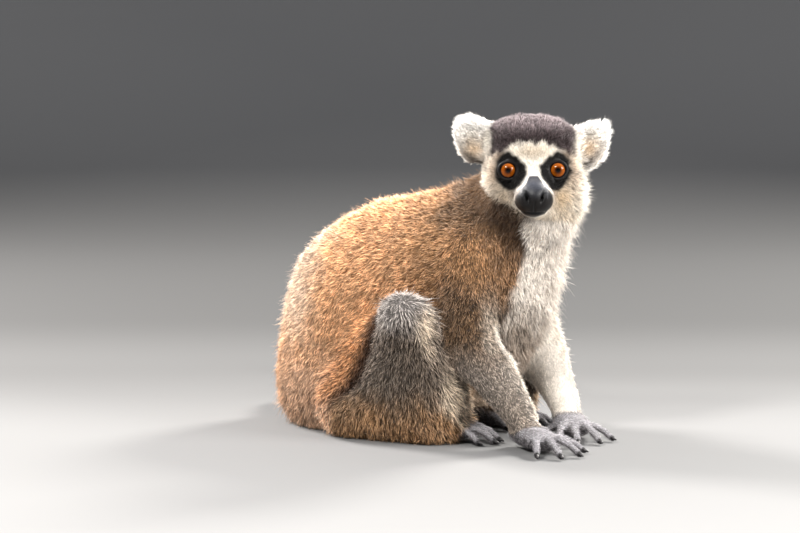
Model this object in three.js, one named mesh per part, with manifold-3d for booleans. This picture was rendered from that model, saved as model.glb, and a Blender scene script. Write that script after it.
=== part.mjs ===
// A life-size ring-tailed lemur, sitting hunched with both hands on the ground and its head turned to its
// right.
//
// Millimetres. The body's own frame has +X forward, +Y to the animal's left and +Z up, with the ground at
// z = 0. The whole animal is then turned by BODY_YAW, so that its face looks along -Y.
//
// The flesh is a set of fields: a field gives the distance of a point from a form, negative inside. Fields
// are blended, drawn as a closed net of quads, and parted with thin plane cuts. Digits and tail are lofts.

import * as THREE from "three";
import { mergeVertices } from "three/addons/utils/BufferGeometryUtils.js";
import Module from "manifold-3d";

const wasm = await Module();
wasm.setup();

// ---------------------------------------------------------------- driving dimensions

const GAP = 0.5; // between neighbouring pieces
const FINEST_EDGE = 0.01;
const BODY_YAW = THREE.MathUtils.degToRad(-33); // the trunk's heading from +X
const HEAD_YAW = THREE.MathUtils.degToRad(-90) - BODY_YAW; // the head's turn on the trunk
const HEAD_ROLL = THREE.MathUtils.degToRad(0.3);

const EYE_LINE = [112, -36.6, 205]; // midpoint between the eyes
const EYE_SPREAD = 18; // half the distance between the eyes
const EYE_RADIUS = 8.4;

const TAIL_RADIUS = 21;
const TAIL_LENGTHS = 6; // how many pieces the tail is parted into

// The size of a net's cells.
const TRUNK_CELL = 16;
const LEG_CELL = 16.5;
const HEAD_CELL = 7.4;
const EAR_CELL = 6;
const MUZZLE_CELL = 5;

// ---------------------------------------------------------------- fields

const v3 = (p) => new THREE.Vector3(...p);
const boxOf = (...points) => new THREE.Box3().setFromPoints(points);

function field(distance, box) {
  distance.box = box;
  return distance;
}

// An ellipsoid, by its centre and its half-sizes.
function ball(at, half) {
  const [a, b, c] = half;
  const least = Math.min(a, b, c);
  const distance = (p) => {
    const x = (p.x - at[0]) / a;
    const y = (p.y - at[1]) / b;
    const z = (p.z - at[2]) / c;
    const near = Math.hypot(x, y, z);
    return near < 1e-4 ? -least : (near * (near - 1)) / Math.hypot(x / a, y / b, z / c);
  };
  return field(distance, new THREE.Box3(v3(at).sub(v3(half)), v3(at).add(v3(half))));
}

// A round-ended bar that tapers from one radius to the other.
function bar(from, to, r0, r1) {
  const a = v3(from);
  const along = v3(to).sub(a);
  const length2 = along.lengthSq();
  const off = new THREE.Vector3();
  const distance = (p) => {
    off.subVectors(p, a);
    const t = THREE.MathUtils.clamp(off.dot(along) / length2, 0, 1);
    return off.addScaledVector(along, -t).length() - THREE.MathUtils.lerp(r0, r1, t);
  };
  return field(distance, boxOf(v3(from), v3(to)).expandByScalar(Math.max(r0, r1)));
}

// Several fields run together, with a fillet about k wide where they meet.
function blend(k, ...fields) {
  const distance = (p) => {
    let d = Infinity;
    for (const f of fields) {
      const e = f(p);
      const h = Math.max(k - Math.abs(d - e), 0);
      d = Math.min(d, e) - (h * h) / (4 * k);
    }
    return d;
  };
  const box = fields.reduce((all, f) => all.union(f.box), new THREE.Box3());
  return field(distance, box.expandByScalar(k / 4));
}

// What is left of a field when another is taken out of it, with an edge about k wide.
function hollowed(k, from, out) {
  const distance = (p) => {
    const d = from(p);
    const e = -out(p);
    const h = Math.max(k - Math.abs(d - e), 0);
    return Math.max(d, e) + (h * h) / (4 * k);
  };
  return field(distance, from.box.clone());
}

function moved(inner, matrix) {
  const back = matrix.clone().invert();
  const q = new THREE.Vector3();
  const distance = (p) => inner(q.copy(p).applyMatrix4(back));
  return field(distance, inner.box.clone().applyMatrix4(matrix));
}

function inBox(inner, box) {
  const centre = box.getCenter(new THREE.Vector3());
  const half = box.getSize(new THREE.Vector3()).multiplyScalar(0.5);
  const distance = (p) =>
    Math.max(
      inner(p),
      Math.abs(p.x - centre.x) - half.x,
      Math.abs(p.y - centre.y) - half.y,
      Math.abs(p.z - centre.z) - half.z,
    );
  return field(distance, inner.box.clone().intersect(box));
}

// ---------------------------------------------------------------- nets and lofts

const CORNERS = [0, 1, 2, 3, 4, 5, 6, 7].map((i) => [i & 1, (i >> 1) & 1, i >> 2]);
const EDGES = CORNERS.flatMap((_, i) => [1, 2, 4].filter((s) => !(i & s)).map((s) => [i, i | s]));

// Moves a point onto the surface where the field has the given level.
function settle(p, f, level, reach) {
  const step = 0.05;
  const slope = new THREE.Vector3();
  const q = new THREE.Vector3();
  const at = (x, y, z) => f(q.set(p.x + x, p.y + y, p.z + z));
  for (let turn = 0; turn < 3; turn++) {
    slope.set(
      at(step, 0, 0) - at(-step, 0, 0),
      at(0, step, 0) - at(0, -step, 0),
      at(0, 0, step) - at(0, 0, -step),
    );
    slope.divideScalar(2 * step);
    const move = (f(p) - level) / Math.max(slope.lengthSq(), 0.25);
    p.addScaledVector(slope, -THREE.MathUtils.clamp(move, -reach, reach));
  }
}

// A closed net of quads on a field's surface: one point in each cell that the surface crosses, and one quad
// round each edge that it crosses. A level above zero swells the same net by that much.
function net(f, cell, level = 0) {
  const low = f.box.min.clone().addScalar(-2 * cell);
  const size = f.box.getSize(new THREE.Vector3()).addScalar(4 * cell);
  const [nx, ny, nz] = size.toArray().map((length) => Math.ceil(length / cell) + 1);
  const place = (i, j, k) => new THREE.Vector3(i, j, k).multiplyScalar(cell).add(low);
  const id = (i, j, k) => i + nx * (j + ny * k);
  const value = new Float64Array(nx * ny * nz);
  for (let k = 0; k < nz; k++)
    for (let j = 0; j < ny; j++)
      for (let i = 0; i < nx; i++) value[id(i, j, k)] = f(place(i, j, k));

  const points = [];
  const pointOf = new Int32Array(nx * ny * nz).fill(-1);
  for (let k = 0; k < nz - 1; k++)
    for (let j = 0; j < ny - 1; j++)
      for (let i = 0; i < nx - 1; i++) {
        const mean = new THREE.Vector3();
        let crossed = 0;
        for (const [a, b] of EDGES) {
          const [ca, cb] = [CORNERS[a], CORNERS[b]];
          const da = value[id(i + ca[0], j + ca[1], k + ca[2])];
          const db = value[id(i + cb[0], j + cb[1], k + cb[2])];
          if (da < 0 === db < 0) continue;
          const t = da / (da - db);
          mean.add(v3(ca).lerp(v3(cb), t));
          crossed++;
        }
        if (!crossed) continue;
        mean.divideScalar(crossed).multiplyScalar(cell).add(place(i, j, k));
        settle(mean, f, 0, cell * 0.4);
        if (level) settle(mean, f, level, level);
        pointOf[id(i, j, k)] = points.length / 3;
        points.push(mean.x, mean.y, mean.z);
      }

  const faces = [];
  const steps = [[1, 0, 0], [0, 1, 0], [0, 0, 1]];
  for (let k = 1; k < nz - 1; k++)
    for (let j = 1; j < ny - 1; j++)
      for (let i = 1; i < nx - 1; i++)
        steps.forEach((step, axis) => {
          const inside = value[id(i, j, k)] < 0;
          if (inside === value[id(i + step[0], j + step[1], k + step[2])] < 0) return;
          const [u, v] = [steps[(axis + 1) % 3], steps[(axis + 2) % 3]];
          const cellAt = (a, b) =>
            pointOf[id(i - a * u[0] - b * v[0], j - a * u[1] - b * v[1], k - a * u[2] - b * v[2])];
          const quad = [cellAt(0, 0), cellAt(1, 0), cellAt(1, 1), cellAt(0, 1)];
          if (!inside) quad.reverse();
          faces.push(quad[0], quad[1], quad[2], quad[0], quad[2], quad[3]);
        });

  const geometry = new THREE.BufferGeometry();
  geometry.setAttribute("position", new THREE.Float32BufferAttribute(points, 3));
  geometry.setIndex(faces);
  return geometry;
}

// A closed skin over stations [x, y, z, half width, half height], run smoothly through all of them, or
// through the stretch between two shares of their length. The height is measured towards the arrow "up".
function loft(stations, sides, rings, { grow = 0, from = 0, to = 1, up = [0, 0, 1] } = {}) {
  const path = new THREE.CatmullRomCurve3(stations.map((s) => v3(s)), false, "centripetal");
  const girth = new THREE.CatmullRomCurve3(
    stations.map((s, i) => new THREE.Vector3(s[3], s[4], i * 0.01)),
    false,
    "centripetal",
  );
  const points = [];
  for (let ring = 0; ring <= rings; ring++) {
    const t = THREE.MathUtils.lerp(from, to, ring / rings);
    const at = path.getPoint(t);
    const across = v3(up).cross(path.getTangent(t)).normalize();
    const rise = new THREE.Vector3().crossVectors(path.getTangent(t), across);
    const half = girth.getPoint(t);
    for (let side = 0; side < sides; side++) {
      const turn = (2 * Math.PI * side) / sides;
      const p = at.clone();
      p.addScaledVector(across, (half.x + grow) * Math.cos(turn));
      p.addScaledVector(rise, (half.y + grow) * Math.sin(turn));
      points.push(...p.toArray());
    }
  }
  const faces = [];
  for (let ring = 0; ring < rings; ring++)
    for (let side = 0; side < sides; side++) {
      const a = ring * sides + side;
      const b = ring * sides + ((side + 1) % sides);
      faces.push(a, b, b + sides, a, b + sides, a + sides);
    }
  const centres = [from, to].map((t) => path.getPoint(t));
  centres.forEach((c, end) => {
    const tip = points.length / 3;
    points.push(...c.toArray());
    for (let side = 0; side < sides; side++) {
      const a = end * rings * sides + side;
      const b = end * rings * sides + ((side + 1) % sides);
      faces.push(tip, end ? a : b, end ? b : a);
    }
  });
  const geometry = new THREE.BufferGeometry();
  geometry.setAttribute("position", new THREE.Float32BufferAttribute(points, 3));
  geometry.setIndex(faces);
  return geometry;
}

// ---------------------------------------------------------------- solids

function solid(geometry) {
  const plain = geometry.clone();
  plain.deleteAttribute("normal");
  plain.deleteAttribute("uv");
  const merged = mergeVertices(plain, 1e-4);
  return new wasm.Manifold(
    new wasm.Mesh({
      numProp: 3,
      vertProperties: new Float32Array(merged.attributes.position.array),
      triVerts: new Uint32Array(merged.index.array),
    }),
  );
}

// The part of a solid on the side that the arrow points to, short of the plane by half the gap.
function ahead(piece, at, arrow) {
  const n = v3(arrow).normalize();
  return piece.trimByPlane(n.toArray(), n.dot(v3(at)) + GAP / 2);
}

function behind(piece, at, arrow) {
  return ahead(piece, at, arrow.map((x) => -x));
}

const minus = (piece, ...others) => others.reduce((rest, other) => rest.subtract(other), piece);
const plus = (...pieces) => pieces.reduce((all, piece) => all.add(piece));
const onGround = (piece) => piece.trimByPlane([0, 0, 1], 0);

// Drops the crumbs that a cut can leave, and keeps the largest body.
function whole(piece) {
  return piece.decompose().reduce((best, body) => (body.volume() > best.volume() ? body : best));
}

const finish = (colour, roughness) =>
  new THREE.MeshStandardMaterial({ color: colour, roughness, metalness: 0 });
const COAT = {
  ochre: finish(0xa9713f, 0.95),
  grey: finish(0x8b8078, 0.95),
  pale: finish(0xe9e2d6, 0.95),
  ringed: finish(0x6d6a68, 0.95),
};
const BARE = finish(0x2b2a2e, 0.5);
const IRIS = finish(0xc0620c, 0.08);

// The geometry of a solid, without the hair-fine edges that a cut can leave, nor the fins of two faces
// back to back that their going leaves.
function geometryOf(piece) {
  const { vertProperties, triVerts } = piece.getMesh();
  const geometry = new THREE.BufferGeometry();
  geometry.setAttribute("position", new THREE.BufferAttribute(vertProperties, 3));
  geometry.setIndex(new THREE.BufferAttribute(triVerts, 1));
  const merged = mergeVertices(geometry, FINEST_EDGE);
  const faces = new Map();
  for (let i = 0; i < merged.index.count; i += 3) {
    const corners = [0, 1, 2].map((corner) => merged.index.getX(i + corner));
    if (new Set(corners).size < 3) continue;
    const key = corners.toSorted((a, b) => a - b).join();
    if (!faces.delete(key)) faces.set(key, corners);
  }
  return merged.setIndex([...faces.values()].flat());
}

function meshOf(name, piece, material) {
  const geometry = geometryOf(whole(piece));
  geometry.computeVertexNormals();
  const mesh = new THREE.Mesh(geometry, material);
  mesh.name = name;
  return mesh;
}

// ---------------------------------------------------------------- head

const headPlace = new THREE.Matrix4().compose(
  v3(EYE_LINE),
  new THREE.Quaternion().setFromEuler(new THREE.Euler(HEAD_ROLL, 0, HEAD_YAW, "ZYX")),
  new THREE.Vector3(1, 1, 1),
);
const headPoint = (p) => v3(p).applyMatrix4(headPlace).toArray();
const headWay = (p) => v3(p).transformDirection(headPlace).toArray();

// In the head's own frame: +X out of the face, +Y to the animal's left, origin between the eyes.
const pairOf = (make) => [make(1), make(-1)];

const skull = blend(
  10,
  ball([-27, 0, 13], [34, 32, 26]),
  ...pairOf((s) => ball([-25, 14.5 * s, 17], [28, 18, 18.5])),
  ball([-10, 0, 2], [17, 27, 19]),
  ...pairOf((s) => ball([-18, 19 * s, -11], [19, 18, 18])),
  ...pairOf((s) => ball([-1, 19 * s, 5], [8, 12, 9])),
);
const muzzle = blend(
  7,
  bar([-6, 0, -8], [22, 0, -15.5], 13, 9.5),
  ball([26, 0, -17], [10, 9.5, 8.5]),
  ...pairOf((s) => ball([20, 6.5 * s, -21], [12, 7.5, 7.5])),
  bar([-10, 0, -24], [20, 0, -26.5], 11, 6),
);
const face = moved(blend(8, skull, muzzle), headPlace);

const nostril = (s) => ball([35, 6 * s, -16.5], [5, 1.7, 2.4]);
const mouthSlit = ball([31, 0, -26.4], [16, 16, 0.8]);
const EYE_SOCKET = [8.5, 11, 10]; // half-sizes of the hollow in front of an eye

// An ear: a leaning oval, broad at its root on the crown, hollowed from the front. The right one is
// pricked a little higher.
function ear(s) {
  const height = s > 0 ? 14.5 : 19.5;
  const lean = new THREE.Matrix4().makeRotationX(THREE.MathUtils.degToRad(-19 * s));
  const oval = (x, half) => moved(ball([0, 0, 0], half), lean.clone().setPosition(x, 42.5 * s, height));
  const shell = blend(7, oval(-28, [8, 14.5, 21.5]), ball([-27, 32 * s, height + 2], [9, 10, 14]));
  return hollowed(2, shell, blend(4, oval(-18, [9, 9, 16.5]), ball([-17, 35 * s, height], [8, 6, 9])));
}

// ---------------------------------------------------------------- trunk and neck

const trunk = blend(
  26,
  ball([-62, 0, 26], [65, 66, 42]),
  ball([-64, 0, 56], [62, 61, 54]),
  ball([-56, 0, 98], [61, 62, 61]),
  ball([-18, 0, 116], [59, 58, 64]),
  ball([40, 0, 133], [52, 50, 60]),
  ball([70, 0, 120], [35, 42, 52]),
  ball([34, 0, 62], [46, 36, 44]),
);
const neck = blend(14, bar([74, 4, 146], [102, -8, 172], 37, 29), bar([62, 0, 176], [96, -6, 196], 24, 24));
const core = blend(18, trunk, neck, face);

const neckRoot = { at: [86, -4, 160], way: [0.62, -0.1, 0.78] };
const neckTop = { at: headPoint([-22, 0, -22]), way: [0.5, -0.2, 0.84] };
const snout = { at: headPoint([10, 0, -14]), way: headWay([1, 0, -0.25]) };

// ---------------------------------------------------------------- limbs

// A limb's joints are listed for the animal's left side, where s is 1. On its right, s is -1.
const MIDLINE_GAP = 16; // how far from the midline a leg's flesh starts

const legOf = (s) => ({
  hip: [-50, 32 * s, 40],
  knee: [26, 76 * s, 97],
  ankle: s > 0 ? [58, 38, 26] : [42, -36, 22],
});
function legField({ hip, knee, ankle }) {
  const s = Math.sign(hip[1]);
  return blend(
    14,
    bar(hip, knee, 27, 19),
    bar(knee, ankle, 18, 15),
    ball([27, 58 * s, 58], [34, 27, 38]),
    ball([2, 54 * s, 48], [30, 24, 27]),
    bar([-32, 58 * s, 27], [37, 52 * s, 24], 30, 27),
  );
}

const ELBOW_WAY = [-0.45, 0, 0.9];
const armOf = (s) => ({
  shoulder: [58, 33 * s, 138],
  elbow: s > 0 ? [64, 42, 80] : [64, -47, 80],
  wrist: s > 0 ? [102, 35, 18] : [108, -37, 17],
});
function armStations({ shoulder, elbow, wrist }) {
  const between = (a, b, share) => v3(a).lerp(v3(b), share).toArray();
  return [
    [...between(elbow, shoulder, 1.44), 8, 8],
    [...between(elbow, shoulder, 1.3), 20, 21],
    [...shoulder, 25, 28],
    [...between(shoulder, elbow, 0.5), 23, 25],
    [...elbow, 20, 23],
    [...between(elbow, wrist, 0.35), 19.5, 20.5],
    [...between(elbow, wrist, 0.75), 15, 16],
    [...wrist, 12.5, 13],
    [...between(elbow, wrist, 1.08), 9, 9],
  ];
}

// A hand or foot: its palm and digits in its own frame, with +X to the fingertips, the sole at z = 0 and
// the wrist or ankle over the origin. A digit arches up from its root and comes down to its tip.
function paw({ palm, digits }) {
  const body = solid(loft(palm, 7, 4));
  const fingers = digits.map(({ root, heading, length, thick, arch }) => {
    const turn = THREE.MathUtils.degToRad(heading);
    const at = (along, height, share) => [
      root[0] + along * length * Math.cos(turn),
      root[1] + along * length * Math.sin(turn),
      height,
      share * thick,
      share * thick,
    ];
    const stations = [
      at(-0.2, root[2], 1),
      at(0.12, root[2] + arch * 0.7, 1),
      at(0.45, root[2] + arch, 0.95),
      at(0.8, thick * 1.1, 0.9),
      at(1, thick * 0.8, 0.85),
      at(1.1, thick * 0.6, 0.4),
    ];
    return solid(loft(stations, 5, 4));
  });
  return plus(body, ...fingers);
}

// The right hand and foot, seen from above, with the thumb on the inner side.
const HAND = paw({
  palm: [
    [-12, 0, 14, 9, 9],
    [-3, 0, 12.5, 11, 10.5],
    [8, 0, 9.5, 13, 8.5],
    [19, 0, 8.5, 14, 7.5],
    [27, 0, 7.5, 12.5, 5.5],
    [32, 0, 7, 8, 3],
  ],
  digits: [
    { root: [10, 10, 6], heading: 58, length: 19, thick: 3.3, arch: 2 },
    { root: [24, 9.5, 7], heading: 24, length: 23, thick: 3.3, arch: 4 },
    { root: [28, 3.5, 7], heading: 5, length: 28, thick: 3.4, arch: 5 },
    { root: [27, -4, 7], heading: -14, length: 29, thick: 3.4, arch: 5 },
    { root: [23, -10, 7], heading: -34, length: 25, thick: 3.2, arch: 4 },
  ],
});
const FOOT = paw({
  palm: [
    [-16, 0, 12, 9, 10],
    [-6, 0, 13, 12, 12.5],
    [10, 0, 12, 12, 12],
    [28, 0, 10.5, 12.5, 10.5],
    [42, 0, 8.5, 13, 8],
    [50, 0, 7, 9, 4],
  ],
  digits: [
    { root: [24, 9, 7], heading: 34, length: 28, thick: 4, arch: 3 },
    { root: [44, 8, 7], heading: 10, length: 22, thick: 3.6, arch: 5.5 },
    { root: [47, 2.5, 7], heading: 3, length: 26, thick: 3.7, arch: 6.5 },
    { root: [46, -3.5, 7], heading: -5, length: 28, thick: 3.7, arch: 6.5 },
    { root: [41, -9, 7], heading: -14, length: 25, thick: 3.5, arch: 5.5 },
  ],
});

// Puts a paw down at a place on the ground, heading so many degrees from straight ahead.
function setDown(piece, at, heading, s) {
  const placed = s > 0 ? piece.mirror([0, 1, 0]) : piece;
  return onGround(placed.rotate([0, 0, heading]).translate([at[0], at[1], 0]));
}

// ---------------------------------------------------------------- tail

// It leaves the rump backwards and lies on the ground, swinging to the animal's left and back in an S.
const TAIL_REST = TAIL_RADIUS - 1;
const TAIL_PATH = [
  [-84, 2, 36],
  [-112, 12, 25],
  [-138, 34, TAIL_REST],
  [-148, 70, TAIL_REST],
  [-134, 108, TAIL_REST],
  [-100, 139, TAIL_REST],
  [-68, 172, TAIL_REST],
  [-62, 212, TAIL_REST],
  [-88, 243, TAIL_REST],
  [-128, 246, TAIL_REST],
  [-166, 222, TAIL_REST],
  [-197, 187, TAIL_REST - 1],
  [-226, 170, TAIL_REST - 5],
];
const tailStations = TAIL_PATH.map(([x, y, z], i) => {
  const t = i / (TAIL_PATH.length - 1);
  const fullness = 0.74 + 0.3 * Math.sin(Math.PI * (0.12 + 0.72 * t));
  const r = TAIL_RADIUS * fullness * (t > 0.97 ? 0.4 : 1);
  return [x, y, z, r, r];
});

// ---------------------------------------------------------------- the pieces

const lemur = new THREE.Group();
const add = (name, piece, material) => lemur.add(meshOf(name, piece, material));
const sideOf = (s) => (s > 0 ? "left" : "right");

// A field's net, and the same net swollen by the gap, to cut its neighbours with.
const fleshOf = (f, cell) => ({ piece: solid(net(f, cell)), grown: solid(net(f, cell, GAP)) });

const bodyBox = new THREE.Box3(v3([-150, -110, -20]), v3([150, 90, 225]));
const body = fleshOf(inBox(core, bodyBox), TRUNK_CELL);
const headBox = new THREE.Box3(v3([40, -130, 130]), v3([170, 40, 270]));
const head = fleshOf(inBox(core, headBox), HEAD_CELL);
const snoutBox = boxOf(v3(headPoint([20, 0, -20]))).expandByScalar(34);
const muzzleSolid = solid(net(inBox(core, snoutBox), MUZZLE_CELL));

const tailShare = (i) => 0.02 + (0.98 * i) / TAIL_LENGTHS;
const TAIL_SIDES = 10;
const TAIL_RINGS = 5; // along each length
const tailRoot = solid(loft(tailStations, TAIL_SIDES, TAIL_RINGS, { grow: GAP, to: tailShare(1) }));

add("trunk", onGround(minus(behind(body.piece, neckRoot.at, neckRoot.way), tailRoot)), COAT.ochre);
add("neck", behind(ahead(body.piece, neckRoot.at, neckRoot.way), neckTop.at, neckTop.way), COAT.pale);

// A globe at an eye, so far out of its middle.
const globe = (s, half, out) => {
  const sphere = new THREE.SphereGeometry(1, 12, 7).scale(...half).translate(out, EYE_SPREAD * s, 0);
  return solid(sphere.applyMatrix4(headPlace));
};
const eyeBall = (s, extra) => globe(s, new Array(3).fill(EYE_RADIUS + extra), 0);
const inHead = (f, cell) => solid(net(moved(f, headPlace), cell));
const aboveNeck = (piece) => ahead(piece, neckTop.at, neckTop.way);
add("head", minus(
  behind(aboveNeck(head.piece), snout.at, snout.way),
  ...pairOf((s) => eyeBall(s, GAP)),
  ...pairOf((s) => globe(s, EYE_SOCKET, EYE_RADIUS * 0.7 + EYE_SOCKET[0])),
), COAT.pale);
add("muzzle", minus(
  aboveNeck(ahead(muzzleSolid, snout.at, snout.way)),
  ...pairOf((s) => inHead(nostril(s), 2.2)),
  inHead(mouthSlit, 5),
), BARE);
for (const s of [1, -1]) {
  add(`ear_${sideOf(s)}`, minus(inHead(ear(s), EAR_CELL), head.grown), COAT.pale);
  add(`eye_${sideOf(s)}`, eyeBall(s, 0), IRIS);
}

const HAND_HEADING = { left: -46, right: -22 };
const FOOT_PLACE = { left: [14, 35, 4], right: [10, -40, 4] };
for (const s of [1, -1]) {
  const side = sideOf(s);
  const { elbow, wrist } = armOf(s);
  const armLoft = (grow) => solid(loft(armStations(armOf(s)), 10, 14, { grow, up: [1, 0, 0] }));
  const arm = { piece: armLoft(0), grown: armLoft(GAP) };
  const outside = minus(arm.piece, body.grown);
  const hand = setDown(HAND, wrist, HAND_HEADING[side], s);
  add(`upper_arm_${side}`, ahead(outside, elbow, ELBOW_WAY), COAT.grey);
  add(`forearm_${side}`, onGround(behind(outside, elbow, ELBOW_WAY)), COAT.grey);
  add(`hand_${side}`, minus(hand, arm.grown), COAT.grey);

  const { hip, knee, ankle } = legOf(s);
  const leg = fleshOf(legField(legOf(s)), LEG_CELL);
  const haunch = onGround(minus(leg.piece, body.grown, arm.grown)).trimByPlane([0, s, 0], MIDLINE_GAP);
  const up = v3(hip).sub(v3(knee)).normalize();
  const down = v3(ankle).sub(v3(knee)).normalize();
  const fold = up.sub(down).toArray();
  const [footX, footY, footHeading] = FOOT_PLACE[side];
  const foot = setDown(FOOT, [footX, footY], footHeading, s);
  add(`thigh_${side}`, ahead(haunch, knee, fold), COAT.grey);
  add(`shank_${side}`, behind(haunch, knee, fold), COAT.grey);
  add(`foot_${side}`, minus(foot, leg.grown, arm.grown), COAT.grey);
}

for (let i = 0; i < TAIL_LENGTHS; i++) {
  const apart = 0.0005; // of the whole route, at either end
  const from = i ? tailShare(i) + apart : 0;
  const to = i < TAIL_LENGTHS - 1 ? tailShare(i + 1) - apart : 1;
  const stretch = solid(loft(tailStations, TAIL_SIDES, TAIL_RINGS, { from, to }));
  add(`tail_${i + 1}`, onGround(stretch), COAT.ringed);
}

// The animal is turned, and its box's bottom centre is put at the origin.
lemur.rotation.z = BODY_YAW;
const bounds = new THREE.Box3().setFromObject(lemur, true);
const middle = bounds.getCenter(new THREE.Vector3());
lemur.position.set(-middle.x, -middle.y, -bounds.min.z);

const group = new THREE.Group();
group.add(lemur);

export default group;
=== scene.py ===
# %% [markdown]
# # A ring-tailed lemur, dressed for a museum case
# A life-size model of an animal is mostly coat. Under the coat lies one skin without a seam,
# and only the muzzle, the eyelids and the tips of the fingers show it bare. This lesson makes
# the skin first, then the markings, then the tufts that grow on it, and last the eyes and nails.

# %% Load the frame
import math
from functools import partial

import bmesh
import bpy
import numpy as np
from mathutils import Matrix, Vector
from mathutils.bvhtree import BVHTree


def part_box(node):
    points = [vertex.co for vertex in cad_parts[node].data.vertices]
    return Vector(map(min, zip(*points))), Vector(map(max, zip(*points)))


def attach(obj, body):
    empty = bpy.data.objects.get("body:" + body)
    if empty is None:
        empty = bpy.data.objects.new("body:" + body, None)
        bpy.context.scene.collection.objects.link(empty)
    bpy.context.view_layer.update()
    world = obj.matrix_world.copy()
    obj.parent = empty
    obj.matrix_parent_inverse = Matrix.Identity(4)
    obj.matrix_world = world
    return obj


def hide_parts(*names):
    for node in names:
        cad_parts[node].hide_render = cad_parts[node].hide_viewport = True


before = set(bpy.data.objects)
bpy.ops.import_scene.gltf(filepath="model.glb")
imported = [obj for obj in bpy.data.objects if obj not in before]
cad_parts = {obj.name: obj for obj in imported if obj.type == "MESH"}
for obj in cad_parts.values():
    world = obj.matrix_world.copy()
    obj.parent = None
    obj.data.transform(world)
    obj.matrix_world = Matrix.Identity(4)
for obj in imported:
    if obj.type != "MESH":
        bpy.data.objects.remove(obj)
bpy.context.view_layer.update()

MM = 0.001
SIDES = ("left", "right")

# %% [markdown]
# ## Two rulers: one for the body and one for the head
# The animal sits three-quarters on and looks over its shoulder, so the head and the body each
# need their own axes. The eyes say where the head is: the line between them is its left-right
# axis. The body's origin is a fixed step from there, and its forward axis is turned aside.

# %% Axes of the head and of the body
eye_place = {side: sum(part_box("eye_" + side), Vector()) / 2 for side in SIDES}
eye_radius = (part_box("eye_left")[1].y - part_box("eye_left")[0].y) / 2
head_left = (eye_place["left"] - eye_place["right"]).normalized()
head_forward = Vector((0, -1, 0))
head_up = head_forward.cross(head_left).normalized()
head_axes = np.array([head_forward, head_left, head_up])
head_place = np.array((eye_place["left"] + eye_place["right"]) / 2)

BODY_TURN = math.radians(33)
EYES_IN_BODY = np.array([112.0, -36.6, 205.0])
body_axes = np.array([
    [math.cos(BODY_TURN), -math.sin(BODY_TURN), 0],
    [math.sin(BODY_TURN), math.cos(BODY_TURN), 0],
    [0, 0, 1],
])
body_place = head_place - EYES_IN_BODY * MM @ body_axes


def in_head(points):
    """Forward, left and up of the eyes' middle, in millimetres."""
    return (np.asarray(points) - head_place) @ head_axes.T / MM


def in_body(points):
    """Forward, left and up of the body's origin, in millimetres."""
    return (np.asarray(points) - body_place) @ body_axes.T / MM


def from_body(points):
    """A place in the body's millimetres, as metres in the frame."""
    return np.asarray(points, float) * MM @ body_axes + body_place


print("eyes' middle:", head_place.round(4), "eye radius:", round(eye_radius, 4))

# %% [markdown]
# ## Camera, light and floor
# The camera stands low and far off with a long lens, as a keeper's would, so the head isn't
# swollen by perspective. The light is soft: a broad key, a fill, and two lights behind the
# animal that catch the loose tips of the coat. The floor is a sheet that curves up far behind,
# and it isn't part of the model.

# %% Camera
CAMERA_TARGET = Vector((-0.0315, -0.1372, 0.131))
CAMERA_RISE = math.radians(6)
CAMERA_DISTANCE = 1.9
SENSOR_WIDTH = 36.0
SEEN_WIDTH = 0.592


def shown(name, data):
    """An object that holds the data, in the scene."""
    made = bpy.data.objects.new(name, data)
    bpy.context.scene.collection.objects.link(made)
    return made


def aimed(thing, place, target):
    """Puts a camera or a lamp at a place, so that it looks at the target."""
    thing.location, thing.rotation_mode = place, "QUATERNION"
    thing.rotation_quaternion = (target - Vector(place)).to_track_quat("-Z", "Y")


camera_data = bpy.data.cameras.new("camera")
camera_data.sensor_width = SENSOR_WIDTH
camera_data.lens = SENSOR_WIDTH * CAMERA_DISTANCE / SEEN_WIDTH
camera_data.clip_start = 0.05
camera = shown("camera", camera_data)
backward = Vector((0, -math.cos(CAMERA_RISE), math.sin(CAMERA_RISE)))
aimed(camera, CAMERA_TARGET + backward * CAMERA_DISTANCE, CAMERA_TARGET)
bpy.context.scene.camera = camera
print("camera:", camera.location, "lens", round(camera_data.lens, 1))

# %% Lights
LIGHT_TARGET = Vector((0, -0.05, 0.12))
# name: place, size, power and tint
LIGHTS = {
    "key": ((-0.9, -1.4, 1.6), 0.35, 66, (1.0, 0.97, 0.93)),
    "fill": ((1.6, -0.9, 0.8), 0.8, 66, (1.0, 0.97, 0.94)),
    "rim_right": ((1.2, 1.1, 1.3), 0.5, 90, (1.0, 0.97, 0.92)),
    "rim_left": ((-1.3, 0.9, 1.1), 0.5, 95, (1.0, 0.96, 0.92)),
}
for name, (place, size, power, tint) in LIGHTS.items():
    lamp = bpy.data.lights.new(name, "AREA")
    lamp.size, lamp.energy, lamp.color = size, power, tint
    aimed(shown(name, lamp), place, LIGHT_TARGET)

world = bpy.data.worlds.new("world")
world.use_nodes = True
sky = world.node_tree.nodes["Background"].inputs
sky["Color"].default_value = (0.9, 0.93, 1.0, 1)
sky["Strength"].default_value = 0.95
bpy.context.scene.world = world
bpy.context.scene.view_settings.view_transform = "Standard"
print("lights:", ", ".join(LIGHTS))

# %% Helpers for node trees


def wire(tree, target, value):
    """Sets a socket's own value, or links another socket to it."""
    if isinstance(value, bpy.types.NodeSocket):
        tree.links.new(value, target)
    else:
        target.default_value = value


def add(tree, kind, inputs=(), **settings):
    """Adds a node, with its settings and then its inputs by name or number."""
    made = tree.nodes.new(kind)
    for name, value in settings.items():
        setattr(made, name, value)
    for name, value in dict(inputs).items():
        wire(tree, made.inputs[name], value)
    return made


def sums(tree, operation, *values):
    """One arithmetic step on numbers."""
    return add(tree, "ShaderNodeMath", enumerate(values), operation=operation).outputs[0]


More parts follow.
